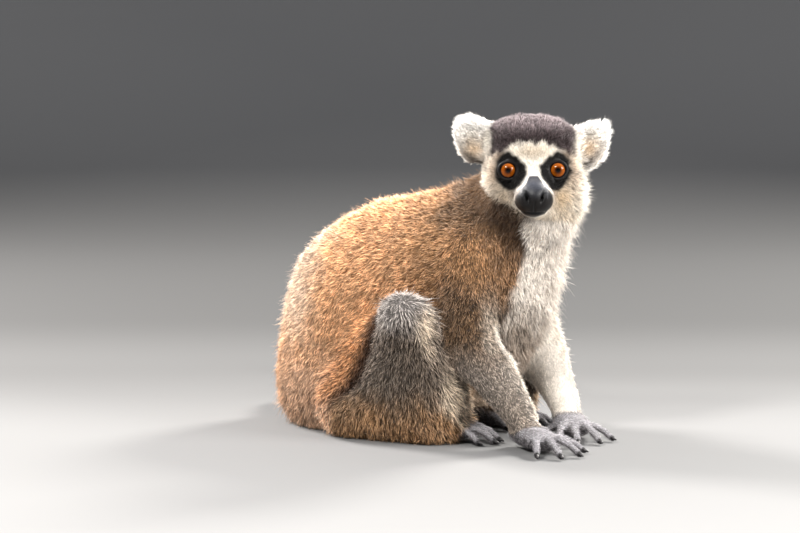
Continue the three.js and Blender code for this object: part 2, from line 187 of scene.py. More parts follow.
def times(tree, vector, factor):
    """A colour or a vector multiplied by a number."""
    return add(tree, "ShaderNodeVectorMath", {0: vector, "Scale": factor}, operation="SCALE"
               ).outputs["Vector"]


def scaled(tree, value, low, high, start=0.0, end=1.0):
    """Maps start..end to low..high."""
    return add(tree, "ShaderNodeMapRange",
               {"Value": value, "From Min": start, "From Max": end, "To Min": low, "To Max": high}
               ).outputs["Result"]


def own_place(tree):
    """The place on the object, in its own axes."""
    return add(tree, "ShaderNodeTexCoord").outputs["Object"]


def speckle(tree, scale, low, high, detail=2.0):
    """Noise in the object's own space, mostly between low and high."""
    noise = add(tree, "ShaderNodeTexNoise",
                {"Vector": own_place(tree), "Scale": scale, "Detail": detail})
    return scaled(tree, noise.outputs["Fac"], low, high, 0.3, 0.7)


def bands(tree, value, stops, blend="LINEAR"):
    """Colours along a value. Each stop is a position and its red, green and blue."""
    made = add(tree, "ShaderNodeValToRGB", {"Fac": value})
    made.color_ramp.interpolation = blend
    while len(made.color_ramp.elements) < len(stops):
        made.color_ramp.elements.new(0.5)
    for element, (at, colour) in zip(made.color_ramp.elements, stops):
        element.position, element.color = at, (*colour, 1)
    return made.outputs["Color"]


def attribute(tree, name, output="Fac"):
    return add(tree, "ShaderNodeAttribute", attribute_name=name).outputs[output]


def material(name, **constants):
    """A new material, its tree and its shader's inputs, with these inputs set."""
    made = bpy.data.materials.new(name)
    made.use_nodes = True
    inputs = made.node_tree.nodes["Principled BSDF"].inputs
    for socket, value in constants.items():
        inputs[socket.replace("_", " ")].default_value = value
    return made, made.node_tree, inputs


# %% Floor
# its outline: how far out and how high
FLOOR_PROFILE = ((0, 0), (3.0, 0), (3.5, 0.06), (3.9, 0.25), (4.2, 0.6), (4.35, 1.1), (4.4, 4.0))
FLOOR_REACH = FLOOR_PROFILE[-1][0]
FLOOR_SIDES = 64
# it is darker where the lamps behind stand over it: how far back, and how pale
FLOOR_GREYS = ((-0.6, 0.19), (-0.1, 0.15), (0.25, 0.07), (0.6, 0.04), (1.3, 0.045), (4.0, 0.14))


def finished(work, name):
    """The bmesh as a smooth object in the scene."""
    for face in work.faces:
        face.smooth = True
    mesh = bpy.data.meshes.new(name)
    work.to_mesh(mesh)
    work.free()
    return shown(name, mesh)


sheet = bmesh.new()
profile = [sheet.verts.new((r, 0, z)) for r, z in FLOOR_PROFILE]
lines = [sheet.edges.new(pair) for pair in zip(profile, profile[1:])]
bmesh.ops.spin(sheet, geom=profile + lines, cent=(0, 0, 0), axis=(0, 0, 1),
               angle=2 * math.pi, steps=FLOOR_SIDES, use_merge=True)
bmesh.ops.remove_doubles(sheet, verts=sheet.verts, dist=1e-5)
floor = finished(sheet, "floor")
floor_finish, tree, inputs = material("pale_floor", Roughness=0.85)
back = add(tree, "ShaderNodeSeparateXYZ", {0: own_place(tree)}).outputs["Y"]
greys = [(0.5 + 0.5 * reach / FLOOR_REACH, (grey,) * 3) for reach, grey in FLOOR_GREYS]
share = scaled(tree, back, 0.0, 1.0, -FLOOR_REACH, FLOOR_REACH)
wire(tree, inputs["Base Color"], bands(tree, share, greys, "EASE"))
floor.data.materials.append(floor_finish)
print("floor:", len(floor.data.polygons), "faces")

# %% [markdown]
# ## One skin for the whole animal
# The CAD flesh is many closed solids with hair-thin cuts between them, and its outline is that
# of the coat's tips. A skin has to be one surface, deeper down. So the solids are copied, grown
# until they touch, and remeshed with voxels into one shell. The shell is smoothed, drawn in by
# the depth of the coat at each place, and remeshed again. Sculpting by hand would give a finer
# face, but this way the skin stays true to the frame.

# %% Depth and length of the coat on each part
# part: depth of the coat over the skin, length of a tuft, width of a tuft (millimetres),
# and how much light and dark tufts are mixed (0 to 1)
COAT = {
    "trunk": (3.9, 6.8, 0.48, 0.6),
    "neck": (3.7, 6.6, 0.46, 0.5),
    "head": (1.9, 3.6, 0.38, 0.6),
    "muzzle": (0.0, 1.2, 0.35, 0.1),
    "ear": (1.8, 4.4, 0.42, 0.1),
    "upper_arm": (2.9, 5.2, 0.45, 0.85),
    "forearm": (2.0, 3.8, 0.43, 0.95),
    "hand": (0.1, 2.8, 0.34, 0.8),
    "thigh": (3.9, 6.6, 0.50, 0.8),
    "shank": (3.4, 6.6, 0.48, 0.85),
    "foot": (0.1, 2.8, 0.34, 0.8),
    "tail": (8.5, 14.0, 0.8, 0.35),
    "eye": (0.0, 1.2, 0.35, 0.1),
}


def part_of(node):
    """thigh_left is a thigh, tail_3 is tail."""
    stem, _, last = node.rpartition("_")
    return stem if last in ("left", "right", *"123456") else node


NODES = sorted(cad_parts)
FLESH = [name for name in NODES if part_of(name) != "eye"]
PARTS = sorted(COAT)
part_index = np.array([PARTS.index(part_of(name)) for name in NODES])


def any_of(part, *names):
    """Which places belong to one of the named parts."""
    return np.isin(part, [PARTS.index(name) for name in names])


print("parts:", len(PARTS), "flesh nodes:", len(FLESH))

# %% Helpers for meshes as arrays


def column(sequence, name, width=3, kind=np.float32):
    """One property of all of a mesh's vertices or edges, as an array."""
    flat = np.empty(len(sequence) * width, kind)
    sequence.foreach_get(name, flat)
    return flat.reshape(-1, width)


def places(mesh):
    return column(mesh.vertices, "co").astype(float)


def place_all(mesh, points):
    mesh.vertices.foreach_set("co", np.asarray(points, np.float32).ravel())
    mesh.update()


def edge_pairs(mesh):
    return column(mesh.edges, "vertices", 2, np.int32)


def outward(mesh):
    """The vertices' normals."""
    return column(mesh.vertex_normals, "vector").astype(float)


def unit(rows):
    """Each row made one long."""
    return rows / (np.linalg.norm(rows, axis=1)[:, None] + 1e-9)


def relaxed(values, pairs, rounds, weight=0.5):
    """Moves each vertex's values towards the mean of its neighbours', some rounds over."""
    values = np.array(values, float)
    wide = values.reshape(len(values), -1)
    both = np.concatenate([pairs, pairs[:, ::-1]])
    share = np.maximum(np.bincount(both[:, 0], minlength=len(wide)), 1)
    for _ in range(rounds):
        for i in range(wide.shape[1]):
            mean = np.bincount(both[:, 0], wide[both[:, 1], i], len(wide)) / share
            wide[:, i] += weight * (mean - wide[:, i])
    return wide.reshape(values.shape)


def ramp(values, start, end):
    """0 at start and 1 at end, level beyond both, and smooth between. It falls if end is lower."""
    t = np.clip((values - start) / (end - start), 0, 1)
    return t * t * (3 - 2 * t)


def hump(values, width):
    """A smooth bump, 1 at zero and nearly nothing beyond twice the width."""
    return np.exp(-(values / width) ** 2)


def applied(made):
    """The object's mesh with its modifiers in it."""
    mesh = bpy.data.meshes.new_from_object(
        made.evaluated_get(bpy.context.evaluated_depsgraph_get()))
    made.modifiers.clear()
    old, made.data = made.data, mesh
    bpy.data.meshes.remove(old)
    return mesh


# %% Join the solids into one shell
GROWTH = 0.35 * MM
VOXEL = 1.3 * MM

flesh, solids, solid_of_face = bmesh.new(), bmesh.new(), []
for index, name in enumerate(NODES):
    one = bmesh.new()
    one.from_mesh(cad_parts[name].data)
    bmesh.ops.remove_doubles(one, verts=one.verts, dist=1e-6)
    one.normal_update()
    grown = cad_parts[name].data.copy()
    one.to_mesh(grown)
    solids.from_mesh(grown)
    solid_of_face += [index] * len(one.faces)
    place_all(grown, places(grown) + outward(grown) * GROWTH)
    flesh.from_mesh(grown)
    bpy.data.meshes.remove(grown)
    one.free()
solids.faces.ensure_lookup_table()
solid_tree = BVHTree.FromBMesh(solids)
solid_of_face = np.array(solid_of_face)
solids.free()

skin = shown("skin", bpy.data.meshes.new("skin"))
flesh.to_mesh(skin.data)
flesh.free()


def remesh(made, size):
    """One shell of even squares around all that the mesh holds."""
    change = made.modifiers.new("shell", "REMESH")
    change.mode, change.voxel_size = "VOXEL", size
    return applied(made)


def nearest_node(points):
    """For each point, the index of the CAD node whose surface is nearest."""
    return solid_of_face[[solid_tree.find_nearest(p)[2] for p in points.tolist()]]


shell = remesh(skin, VOXEL)
print("first shell:", len(shell.vertices), "vertices")

# %% Smooth the shell and draw it in by the coat's depth
# Facets are as large as the part is thick, so thick parts take more smoothing than fingers.
SMOOTHING = {"head": 0.35, "muzzle": 0.2, "ear": 0.25, "hand": 0.08, "foot": 0.1, "eye": 0.3}
SMOOTH_TURNS, SMOOTH_ROUNDS = 9, 10

pairs, points = edge_pairs(shell), places(shell)
part = part_index[nearest_node(points)]
strength = relaxed(np.array([SMOOTHING.get(name, 1.0) for name in PARTS])[part], pairs, 8)
for _ in range(SMOOTH_TURNS):
    points += (relaxed(points, pairs, SMOOTH_ROUNDS) - points) * strength[:, None]
place_all(shell, points)


def coat_depth(points, part):
    """How deep the skin lies under the outline, in metres."""
    depth = np.array([COAT[name][0] for name in PARTS])[part]
    forward, left, up = in_head(points).T
    face = ramp(forward, -6, 4) * ramp(up, 22, 12) * ramp(abs(left), 32, 24)
    depth = np.where(any_of(part, "head", "muzzle"), depth * (1 - 0.75 * face), depth)
    above_sole = ramp(points[:, 2], 1 * MM, 9 * MM)
    return depth * MM * np.where(depth > 0, 0.35 + 0.65 * above_sole, 1)


depth = relaxed(coat_depth(points, part), pairs, 12)
place_all(shell, points - unit(relaxed(outward(shell), pairs, 4)) * depth[:, None])
shell = remesh(skin, VOXEL)
pairs, points = edge_pairs(shell), places(shell)
paws = any_of(part_index[nearest_node(points)], "hand", "foot")
points += (relaxed(points, pairs, 2) - points) * (1 - 0.7 * relaxed(paws, pairs, 3))[:, None]
points[:, 2] = np.maximum(points[:, 2], 0.05 * MM)
place_all(shell, points)
print("skin shell:", len(shell.vertices), "vertices")

# %% [markdown]
# ## Fine squares where the face is, coarse ones under thick coat
# Lids, nostrils and the mouth need a mesh of about half a millimetre, but no one sees the skin
# of the back. The shell is first thinned under long coat with Decimate, which a vertex group
# keeps away from the head, hands and feet. Then the squares round the muzzle and the eyes are
# cut in two, and those of the lids, nostrils and lips once more.

# %% Thin the shell under long coat
THINNED_SHARE = 0.35

part = part_index[nearest_node(places(shell))]
thick = ~any_of(part, "head", "muzzle", "eye", "hand", "foot", "ear")
group = skin.vertex_groups.new(name="thick_coat")
group.add(np.nonzero(thick)[0].tolist(), 1.0, "REPLACE")
thinning = skin.modifiers.new("thin", "DECIMATE")
thinning.ratio, thinning.vertex_group = THINNED_SHARE, "thick_coat"
shell = applied(skin)
skin.vertex_groups.clear()
print("thinned:", len(shell.vertices), "vertices,", len(shell.polygons), "faces")

# %% Cut the face's squares finer
FACE_REACH = 15.0
EYE_REACH = 12.0


def cut_finer(mesh, chosen):
    """Halves every edge whose two ends are chosen."""
    work = bmesh.new()
    work.from_mesh(mesh)
    work.verts.ensure_lookup_table()
    edges = [e for e in work.edges if chosen[e.verts[0].index] and chosen[e.verts[1].index]]
    bmesh.ops.subdivide_edges(work, edges=edges, cuts=1, use_grid_fill=True, smooth=0.0)
    bmesh.ops.triangulate(work, faces=[f for f in work.faces if len(f.verts) > 4])
    work.to_mesh(mesh)
    work.free()


def on_face(mesh):
    """Forward, left and up in the head's millimetres, and the distance to the nearer eye."""
    points = places(mesh)
    gaps = [np.linalg.norm(points - np.array(eye_place[side]), axis=1) for side in SIDES]
    return *in_head(points).T, np.min(gaps, axis=0) / MM


forward, left, up, to_eye = on_face(shell)
cut_finer(shell, ((forward > -2) & (abs(left) < FACE_REACH + 3) & (up < 4))
          | ((to_eye < FACE_REACH) & (forward > -4)))
forward, left, up, to_eye = on_face(shell)
cut_finer(shell, ((to_eye < EYE_REACH) & (forward > 0))
          | ((forward > 20) & (abs(left) < 12) & (up < -10) & (up > -36)))
print("with a fine face:", len(shell.vertices), "vertices")

# %% [markdown]
# ## Lids, nostrils and mouth
# An eye looks alive when its lids lie on the ball and cast a thin shadow on it. Round each eye
# the skin is a bowl: its distance from the ball's middle depends only on the angle from the
# gaze. Inside the opening it runs behind the ball, at the rim it steps out over the ball, and
# further out it joins the face. The nostrils, the mouth and the fold behind each leg are pressed
# in along short curves.

# %% Shape the lids
LID_OPENING = 49.0
LID_THICKNESS = 0.75
LID_STEP = 2.5
HIDDEN_DEPTH = 1.6


def gaze_angles(points, side):
    """Distance, angle from the gaze in degrees, and height round the eye from -1 to 1."""
    offset = in_head(points) - in_head(np.array([eye_place[side]]))[0]
    distance = np.linalg.norm(offset, axis=1)
    angle = np.degrees(np.arccos(np.clip(offset[:, 0] / distance, -1, 1)))
    height = offset[:, 2] / (np.linalg.norm(offset[:, 1:], axis=1) + 1e-6)
    return distance, angle, height


def lid_edge(height):
    """The angle at which the lid starts: lower over the top of the iris than at the sides."""
    return LID_OPENING - 5.0 * ramp(height, 0.1, 1.0) - 2.0 * ramp(-height, 0.2, 1.0)


pairs, points = edge_pairs(shell), places(shell)
for side in SIDES:
    distance, angle, height = gaze_angles(points, side)
    edge = lid_edge(height)
    bowl = eye_radius / MM - HIDDEN_DEPTH
    bowl += (HIDDEN_DEPTH + LID_THICKNESS) * ramp(angle, edge - LID_STEP, edge)
    bowl += 0.45 * hump(angle - edge - 5, 3.5) - 0.30 * hump(angle - edge - 14, 3.0)
    hold = ramp(distance, 15, 11) * ramp(angle, 96, 72)
    centre = np.array(eye_place[side])
    pulled = centre + (points - centre) * (bowl / distance)[:, None]
    points += (pulled - points) * hold[:, None]
    loose = ramp(angle, edge + 8, edge + 18) * ramp(distance, 24, 16)
    points += (relaxed(points, pairs, 45) - points) * loose[:, None]
place_all(shell, points)
for polygon in shell.polygons:
    polygon.use_smooth = True
print("lids shaped, opening", LID_OPENING, "degrees")

# %% Press in the nostrils, the mouth and the fold behind each leg
NOSTRIL = (5.9, -17.2)
MOUTH_HEIGHT = -29.8
# the fold: how far ahead it runs in the body's frame, by height
LEG_LINE_HEIGHTS = (24.0, 43.0, 69.0, 95.0, 110.0)
LEG_LINE = (-35.0, -15.5, -4.0, 5.6, 14.0)
FOLD_DEPTH = 4.5

forward, left, up = in_head(points).T
below = up - NOSTRIL[1]
pressed = 3.2 * hump(abs(left) - NOSTRIL[0] - 0.22 * below, 1.3) * hump(below + 1.0, 3.4)
pressed -= 0.7 * hump(abs(left) - NOSTRIL[0] - 2.9, 1.5) * hump(below + 0.5, 3.4)
pressed -= 0.8 * hump(left, 4.0) * hump(below - 1.0, 3.6)
pressed += 0.7 * hump(left, 0.7) * ramp(up, MOUTH_HEIGHT, MOUTH_HEIGHT + 2) * ramp(below, -2, -4)
pressed *= ramp(forward, 16, 22)
mouth = MOUTH_HEIGHT + 0.010 * left ** 2
pressed += 1.3 * hump(up - mouth, 0.7) * ramp(abs(left), 14.5, 11) * ramp(forward, 6, 12)
ahead, aside, high = in_body(points).T
leg_line = np.interp(high, LEG_LINE_HEIGHTS, LEG_LINE)
fold = hump(ahead - leg_line + 2, 5.5) * ramp(high, 24, 42) * ramp(high, 106, 94)
pressed += FOLD_DEPTH * fold * ramp(abs(aside), 40, 56)
points -= outward(shell) * (pressed * MM)[:, None]
place_all(shell, points)
print("deepest press:", round(pressed.max(), 1), "mm")

# %% [markdown]
# ## Markings
# A ring-tailed lemur's colours are a map that every animal shares: an orange-brown back, grey
# limbs, a white face and throat, a dark cap and dark lozenges round the eyes, and a tail in
# black and white rings. They could be painted by hand, but here each mark is a rule on the
# body's own rulers, so skin and coat carry the very same map. The edges are made a little
# ragged, because in fur a border is where two kinds of hair mix.
# Some marks are painted shade rather than the animal's colour: in the folds behind the legs and of the
# ears,
# between the near arm and the chest, under the paws, in the nostrils and the mouth. A little is painted
# light.

# %% A gentle wobble for ragged borders
CHANCE = np.random.default_rng(11)
WAVES = CHANCE.normal(size=(24, 3))
PHASES = CHANCE.uniform(0, 2 * math.pi, 24)


def wobble(points, size, first=0):
    """A smooth, seeded unevenness between about -1 and 1 with waves of that size in metres."""
    total = np.zeros(len(points))
    for wave, phase in zip(WAVES[first:first + 8], PHASES[first:first + 8]):
        total += np.sin(points @ wave / size * 2.4 + phase)
    return total / 3.2


def paint(code):
    """A colour written as six digits, as linear light."""
    parts = np.array([int(code[i:i + 2], 16) / 255 for i in (0, 2, 4)])
    return np.where(parts <= 0.04045, parts / 12.92, ((parts + 0.055) / 1.055) ** 2.4)


def lay(under, *rows):
    """Lays colours over one another. A row is a colour and how far it covers, 0 to 1."""
    for over, amount in rows:
        over = paint(over) if isinstance(over, str) else over
        under = under + (over - under) * np.clip(amount, 0, 1)[:, None]
    return under

# %% Where each mark lies
points, pairs = places(shell), edge_pairs(shell)
normals = unit(relaxed(outward(shell), pairs, 10))
node = nearest_node(points)
part = part_index[node]
soft, near = [{name: relaxed((part == i).astype(float), pairs, rounds)
               for i, name in enumerate(PARTS)} for rounds in (30, 6)]

forward, left, up = in_head(points).T
ahead, aside, high = in_body(points).T
facing = normals @ body_axes[0]
rough = wobble(points, 9 * MM)
fine = wobble(points, 3.5 * MM, 8)
on_head = near["head"] + near["muzzle"] + near["eye"]

# the white bib of the throat and chest, up to a line that slants over the breast
seen_x = points[:, 0] / MM + 2.5 * rough
past_line = seen_x - np.interp(high, (88, 106, 139, 170), (46, 50, 59, 61))
bib = ramp(past_line, -3, 3) * ramp(facing + 0.1 * rough, 0.0, 0.25)
bib *= ramp(aside + 2.5 * rough, 37, 28) * ramp(high, 16, 34) * ramp(ahead, 40, 60)
under = ramp(-normals[:, 2], 0.3, 0.7) * ramp(ahead, 0, 40)
from_leg = ahead - np.interp(high, LEG_LINE_HEIGHTS, LEG_LINE)
fold = ramp(high, 22, 40) * ramp(high, 108, 92) * ramp(abs(aside), 35, 55)

# body: orange over the back, grey-brown over the shoulders, beige below and behind, with painted shade
# by the thigh's fold and where the near arm meets the chest
shoulder = ramp(ahead + 0.2 * (high - 100) + 8 * rough, 2, 48)
trunk_like = lay(
    paint("EFBB8C"),
    ("E6CCB4", ramp(ahead + 6 * rough, -48, -88) * ramp(high, 40, 100)),
    ("DDB595", ramp(high + 6 * rough, 84, 30) * ramp(ahead, 20, -30)),
    ("B88C62", shoulder),
    ("68584B", shoulder * ramp(ahead + 5 * rough, 36, 66) * ramp(high, 135, 90)),
    ("5C4636", 0.85 * ramp(past_line, -38, -4) * ramp(high, 105, 155) * ramp(facing, -0.6, -0.1)),
    ("5A4839", 0.75 * ramp(ahead + 5 * rough, 20, 42) * ramp(high, 148, 172)),
    # painted shade on the near side only, where the near arm meets the chest
    ("4C3B2E", 0.6 * hump(ahead - 52, 17) * hump(high - 112, 17) * (aside < 0)),
    # painted shade in front of the fold behind the thigh: a broad dark brown band, a warmer darker band
    # nearer it, and a deep dark line in the fold itself
    ("7E4F2B", 0.52 * hump(from_leg + 18, 20) * ramp(high, 12, 30) * ramp(high + 4 * rough, 96, 62)),
    ("D08C4C", 0.5 * hump(from_leg + 16, 14) * fold),
    ("4E2A14", 0.95 * hump(from_leg + 3, 7) * fold),
    ("CFC0AE", 0.7 * under),
)
# the white bib, greyer and darker low between the arms: partly the belly's own grey fur, partly painted
# shade
colour = lay(trunk_like, ("FBF3E9", bib), ("8F7B69", 0.8 * bib * ramp(high + 7 * rough, 122, 72)))
print("bib covers", round(float(bib.mean()), 3), "of the vertices")

# %% Where the fingertips are
# a digit: where it starts on the palm or sole, its heading in degrees, and its length
DIGITS = {
    "hand": ((10, 10, 58, 19), (24, 9.5, 24, 23), (28, 3.5, 5, 28), (27, -4, -14, 29),
             (23, -10, -34, 25)),
    "foot": ((24, 9, 34, 28), (44, 8, 10, 22), (47, 2.5, 3, 26), (46, -3.5, -5, 28),
             (41, -9, -14, 25)),
}
# where each paw lies in the body's frame, and its heading
PAWS = (("hand", "left", 102, 35, -46), ("hand", "right", 108, -37, -22),
        ("foot", "left", 14, 35, 4), ("foot", "right", 10, -40, 4))
TIP_HEIGHT = 3.2
TIP_REACH = 1.03


def turned_by(degrees):
    """The forward and leftward directions of something that heads that many degrees left."""
    a = math.radians(degrees)
    return np.array([[math.cos(a), math.sin(a)], [-math.sin(a), math.cos(a)]])


FINGERTIPS = []
for kind, side, x, y, heading in PAWS:
    mirror = -1 if side == "left" else 1
    for root_x, root_y, digit_heading, length in DIGITS[kind]:
        way = turned_by(digit_heading)[0]
        tip = (np.array([root_x, root_y]) + way * length * TIP_REACH) * (1, mirror) @ turned_by(heading)
        way = way * (1, mirror) @ turned_by(heading)
        FINGERTIPS.append((from_body([x + tip[0], y + tip[1], TIP_HEIGHT]),
                           np.array([*way, 0.0]) @ body_axes))
print("fingertips:", len(FINGERTIPS))

# %% Limbs, hands and feet
leg = lay(
    paint("74675B"),
    ("C09468", 0.9 * ramp(high + 5 * rough, 46, 8)),
    ("C9C3BF", 0.62 * ramp(high + 3 * rough, 80, 104)),
    ("3C3532", 0.7 * hump(high - 112, 5) * hump(ahead - 16, 7)),
    ("DDCBB4", 0.8 * ramp(facing + 0.1 * rough, 0.68, 0.95)),
    (trunk_like, ramp(from_leg + 2 * rough, 3, -4)),
    # painted shade: a dark line in the fold where the thigh meets the rump
    ("3E2A1C", 0.9 * hump(from_leg, 5.5) * fold),
)
outer = normals @ body_axes[1] * np.sign(aside) + 0.12 * rough
# the far arm is white further round and over its front than the near arm: white on the inner side is its
# own colour, the rest is painted light
far_white_and_light = np.maximum(ramp(outer, 0.75, 0.3), ramp(facing, 0.3, 0.65))
white_side_and_light = np.where(aside > 0, far_white_and_light, ramp(outer, 0.0, -0.35))
arm = lay(
    paint("755B42"),
    ("AC8F6C", ramp(high + 4 * rough, 84, 20)),
    ("C9A987", 0.6 * ramp(-facing, 0.35, 0.8) * ramp(high, 90, 50)),
    ("D9CDBD", 0.6 * ramp(facing + 0.1 * rough, 0.65, 0.95)),
    ("FBF3E8", white_side_and_light),
    (trunk_like, ramp(high + 6 * rough, 92, 126) * (1 - white_side_and_light)),
)
paw = np.clip(near["hand"] + near["foot"], 0, 1)
tip_distance = np.min([np.linalg.norm(points - tip, axis=1) for tip, _ in FINGERTIPS], axis=0) / MM
wrist = near["forearm"] * ramp(tip_distance, 84, 46) * (1 - 0.9 * white_side_and_light)
colour = lay(
    colour,
    (leg, near["thigh"] + near["shank"] + near["foot"]),
    (arm, near["upper_arm"] + near["forearm"]),
    ("BEBBBF", paw * (1 - 0.5 * ramp(tip_distance, 28, 48))),
    ("BDB4AC", 0.7 * wrist * (1 - paw)),
    # painted shade on the sides and undersides of the hands and feet
    ("5B5557", 0.7 * paw * ramp(normals[:, 2] + 0.2 * fine, 0.45, -0.1)),
    ("151213", paw * ramp(tip_distance + 0.5 * fine, 4.2, 2.2)),
)
print("limbs marked")

# %% Head: cap, lozenges round the eyes, cheeks and muzzle
LOZENGE = ((0.0, 13.5), (6.0, 9.5), (13.5, 3.0), (13.5, -3.0), (10.0, -8.5), (5.0, -14.0),
           (-0.5, -15.0), (-6.0, -9.5), (-9.5, -1.0), (-8.0, 6.5), (-4.0, 11.5))
# half the muzzle's width, by height
MUZZLE_EDGE = ((-2.8, -6.0), (-3.4, 0.0), (-3.6, 3.0), (-9.0, 6.4), (-12.9, 10.3), (-17.0, 12.9),
               (-22.8, 14.0), (-27.4, 12.5), (-31.8, 7.8), (-33.5, 0.0))
# the cap's edge: how far aside and how high
CAP_EDGE = ((0, 19.8), (5, 19.0), (9, 18.4), (15, 17.0), (20, 14.4), (25, 11.0), (29, 9.0), (40, 7))
LID_SKIN = eye_radius / MM + 2.6


def inside(across, height, corners, feather):
    """How far inside a convex outline a place is: 1 well inside, 0 outside, feathered."""
    depth = np.full(len(across), 1e3)
    for (x0, y0), (x1, y1) in zip(corners, corners[1:] + corners[:1]):
        run = math.hypot(x1 - x0, y1 - y0)
        depth = np.minimum(depth, ((y1 - y0) * (across - x0) - (x1 - x0) * (height - y0)) / -run)
    return ramp(depth, -feather, feather)


lozenges, lids = np.zeros(len(points)), np.zeros(len(points))
for side, way in (("left", 1), ("right", -1)):
    _, middle, height = in_head(np.array(eye_place[side]))
    across = 0.5 * fine - (left - middle) * way
    lozenges += inside(across, up - height + 0.5 * fine, LOZENGE[::-1], 1.2)
    distance, angle, height = gaze_angles(points, side)
    lids = np.maximum(lids, (distance < LID_SKIN) * ramp(angle - lid_edge(height), 14, 9))
lozenges *= ramp(forward, -16, -10)
cap = ramp(up - np.interp(abs(left), *zip(*CAP_EDGE)) + 1.3 * fine, -1.8, 1.8)
cap *= ramp(abs(left) + 1.2 * rough, 31.5, 28)
nape = ramp(3 * rough - forward, 27, 36) * ramp(abs(left), 34, 26) * ramp(up, -30, -10)
brow = ramp(forward, -20, -8)
muzzle_half = np.interp(-up, [-y for y, _ in MUZZLE_EDGE], [x for _, x in MUZZLE_EDGE])
muzzle_bald = ramp(muzzle_half - abs(left), -0.5, 0.5) * ramp(forward, 6, 9)
bald = np.maximum(muzzle_bald, lids)
below = up - NOSTRIL[1]
# painted shade: black in the nostrils, along the mouth line and in the groove under the nose
nostril_shade = hump(abs(left) - NOSTRIL[0] - 0.22 * below, 1.3) * hump(below + 1.0, 3.6)
lips = hump(up - MOUTH_HEIGHT - 0.010 * left ** 2, 0.6) * ramp(abs(left), 14.5, 11)
groove_shade = hump(left, 0.5) * ramp(up, MOUTH_HEIGHT, MOUTH_HEIGHT + 1) * ramp(below, -3, -5)
face = lay(
    paint("EFE8DC"),
    # tan on the cheeks and under the chin; the animal's left cheek gets more of it, as painted shade
    ("D2B58C", (0.5 + 0.3 * (left > 0)) * hump(abs(left) - 20, 8) * hump(up + 20, 11)
     + 0.3 * hump(up + 36, 7)),
    ("76604F", 0.75 * hump(abs(left) - 12.5, 4.0) * hump(up + 16.5, 5.5)),
    ("8E735C", 0.7 * hump(abs(left) - 23, 5) * hump(up - 10, 5) * brow),
    ("B08C66", 0.6 * hump(abs(left) - 27, 6) * hump(up + 2, 12)),
    ("382D2E", np.maximum(cap, nape)),
    ("85787A", 0.8 * cap * ramp(normals[:, 2], 0.45, 0.95)),
    ("C2AC8E", 0.6 * hump(up - 13, 5) * hump(left, 14) * (1 - cap) * brow),
    ("0D0A09", lozenges),
    ("F8F4EE", 0.6 * hump(muzzle_half - abs(left) + 1.1, 0.9) * ramp(forward, 4, 8)),
    ("1B1C20", muzzle_bald),
    # bluish grey on the upward-facing top of the muzzle: partly the skin's own grey, partly painted
    # sheen
    ("3B3D45", 0.8 * muzzle_bald * ramp(up, -15, -8) * ramp(normals[:, 2], 0.2, 0.6)),
    ("0D0A09", muzzle_bald * ramp(-up, 14, 21)),
    # painted shade, black in the nostrils, the mouth line and the groove
    ("020202", muzzle_bald * np.clip(nostril_shade * 1.5 + lips * 1.3 + 0.6 * groove_shade, 0, 1)),
)
front_of_neck = ramp(0.8 * facing - 0.6 * normals[:, 1], -0.2, 0.25)
neck = lay(trunk_like, ("4A3728", 0.85 * ramp(seen_x, 20, 44) * front_of_neck),
           ("FBF3E9", ramp(past_line, -4, 4) * front_of_neck))
ear_front = ramp(-normals[:, 1], 0.1, 0.5)
# painted shade: a dark line along the fold low on the front of each ear, where it meets the head
ear_fold_height = np.interp(abs(left), (27, 34, 41, 49, 52), (-2.2, 1.6, 5.0, 10.6, 19.0))
ear_fold_shade = hump(up - ear_fold_height + 2.5 * (left > 0), 3.4) * hump(abs(left) - 38, 13)
ear = lay(paint("FAF7F2"),
          ("D2B288", 0.75 * hump(abs(left) - 41, 9) * hump(up - 12, 9) * ear_front),
          ("2C1F18", 0.95 * ear_fold_shade * ear_front))
colour = lay(colour, (face, on_head), (neck, near["neck"]), (ear, near["ear"]), ("0E0B0B", lids))
print("head marked, bald share", round(float(bald.mean()), 3))

# %% Rings of the tail
TAIL_PATH = ((-84, 2, 36), (-112, 12, 25), (-138, 34, 20), (-148, 70, 20), (-134, 108, 20),
             (-100, 139, 20), (-68, 172, 20), (-62, 212, 20), (-88, 243, 20), (-128, 246, 20),
             (-166, 222, 20), (-197, 187, 20), (-226, 170, 20))
TAIL_RINGS = 13
TAIL_STEPS = 400

tail_path = from_body(TAIL_PATH)
steps = np.linspace(0, len(tail_path) - 1, TAIL_STEPS)
tail_line = np.column_stack([np.interp(steps, range(len(tail_path)), tail_path[:, i])
                             for i in range(3)])
tail_line = relaxed(tail_line, np.column_stack([range(TAIL_STEPS - 1), range(1, TAIL_STEPS)]), 60)
tail_way = np.gradient(tail_line, axis=0)
tail_run = np.concatenate([[0], np.cumsum(np.linalg.norm(np.diff(tail_line, axis=0), axis=1))])
tail_run /= tail_run[-1]
on_tail = np.nonzero(any_of(part, "tail"))[0]
gap = np.linalg.norm(points[on_tail][:, None] - tail_line[None, ::4], axis=2)
nearest = np.argmin(gap, axis=1) * 4
along_tail = np.zeros(len(points))
along_tail[on_tail] = tail_run[nearest]
turn = np.sin((along_tail + 0.004 * rough) * TAIL_RINGS * 2 * math.pi)
ring = np.where(along_tail > 0.955, 1, ramp(turn, -0.3, 0.3))
tail = lay(paint("E4DFD7"), ("1B1817", ring), ("8F857B", ramp(along_tail, 0.10, 0.03)))
colour = np.clip(lay(colour, (tail, near["tail"])), 0, 1)
print("tail rings:", TAIL_RINGS)

# %% [markdown]
# ## The lie of the coat
# Hair grows in streams. From the nose it runs back over the crown, from the neck down the back,
# and down each limb to the fingers, and where it hangs free gravity bends it. Each place on the
# skin gets one direction: a stream chosen by the part, laid flat on the skin, and evened out
# with its neighbours, as a comb would.

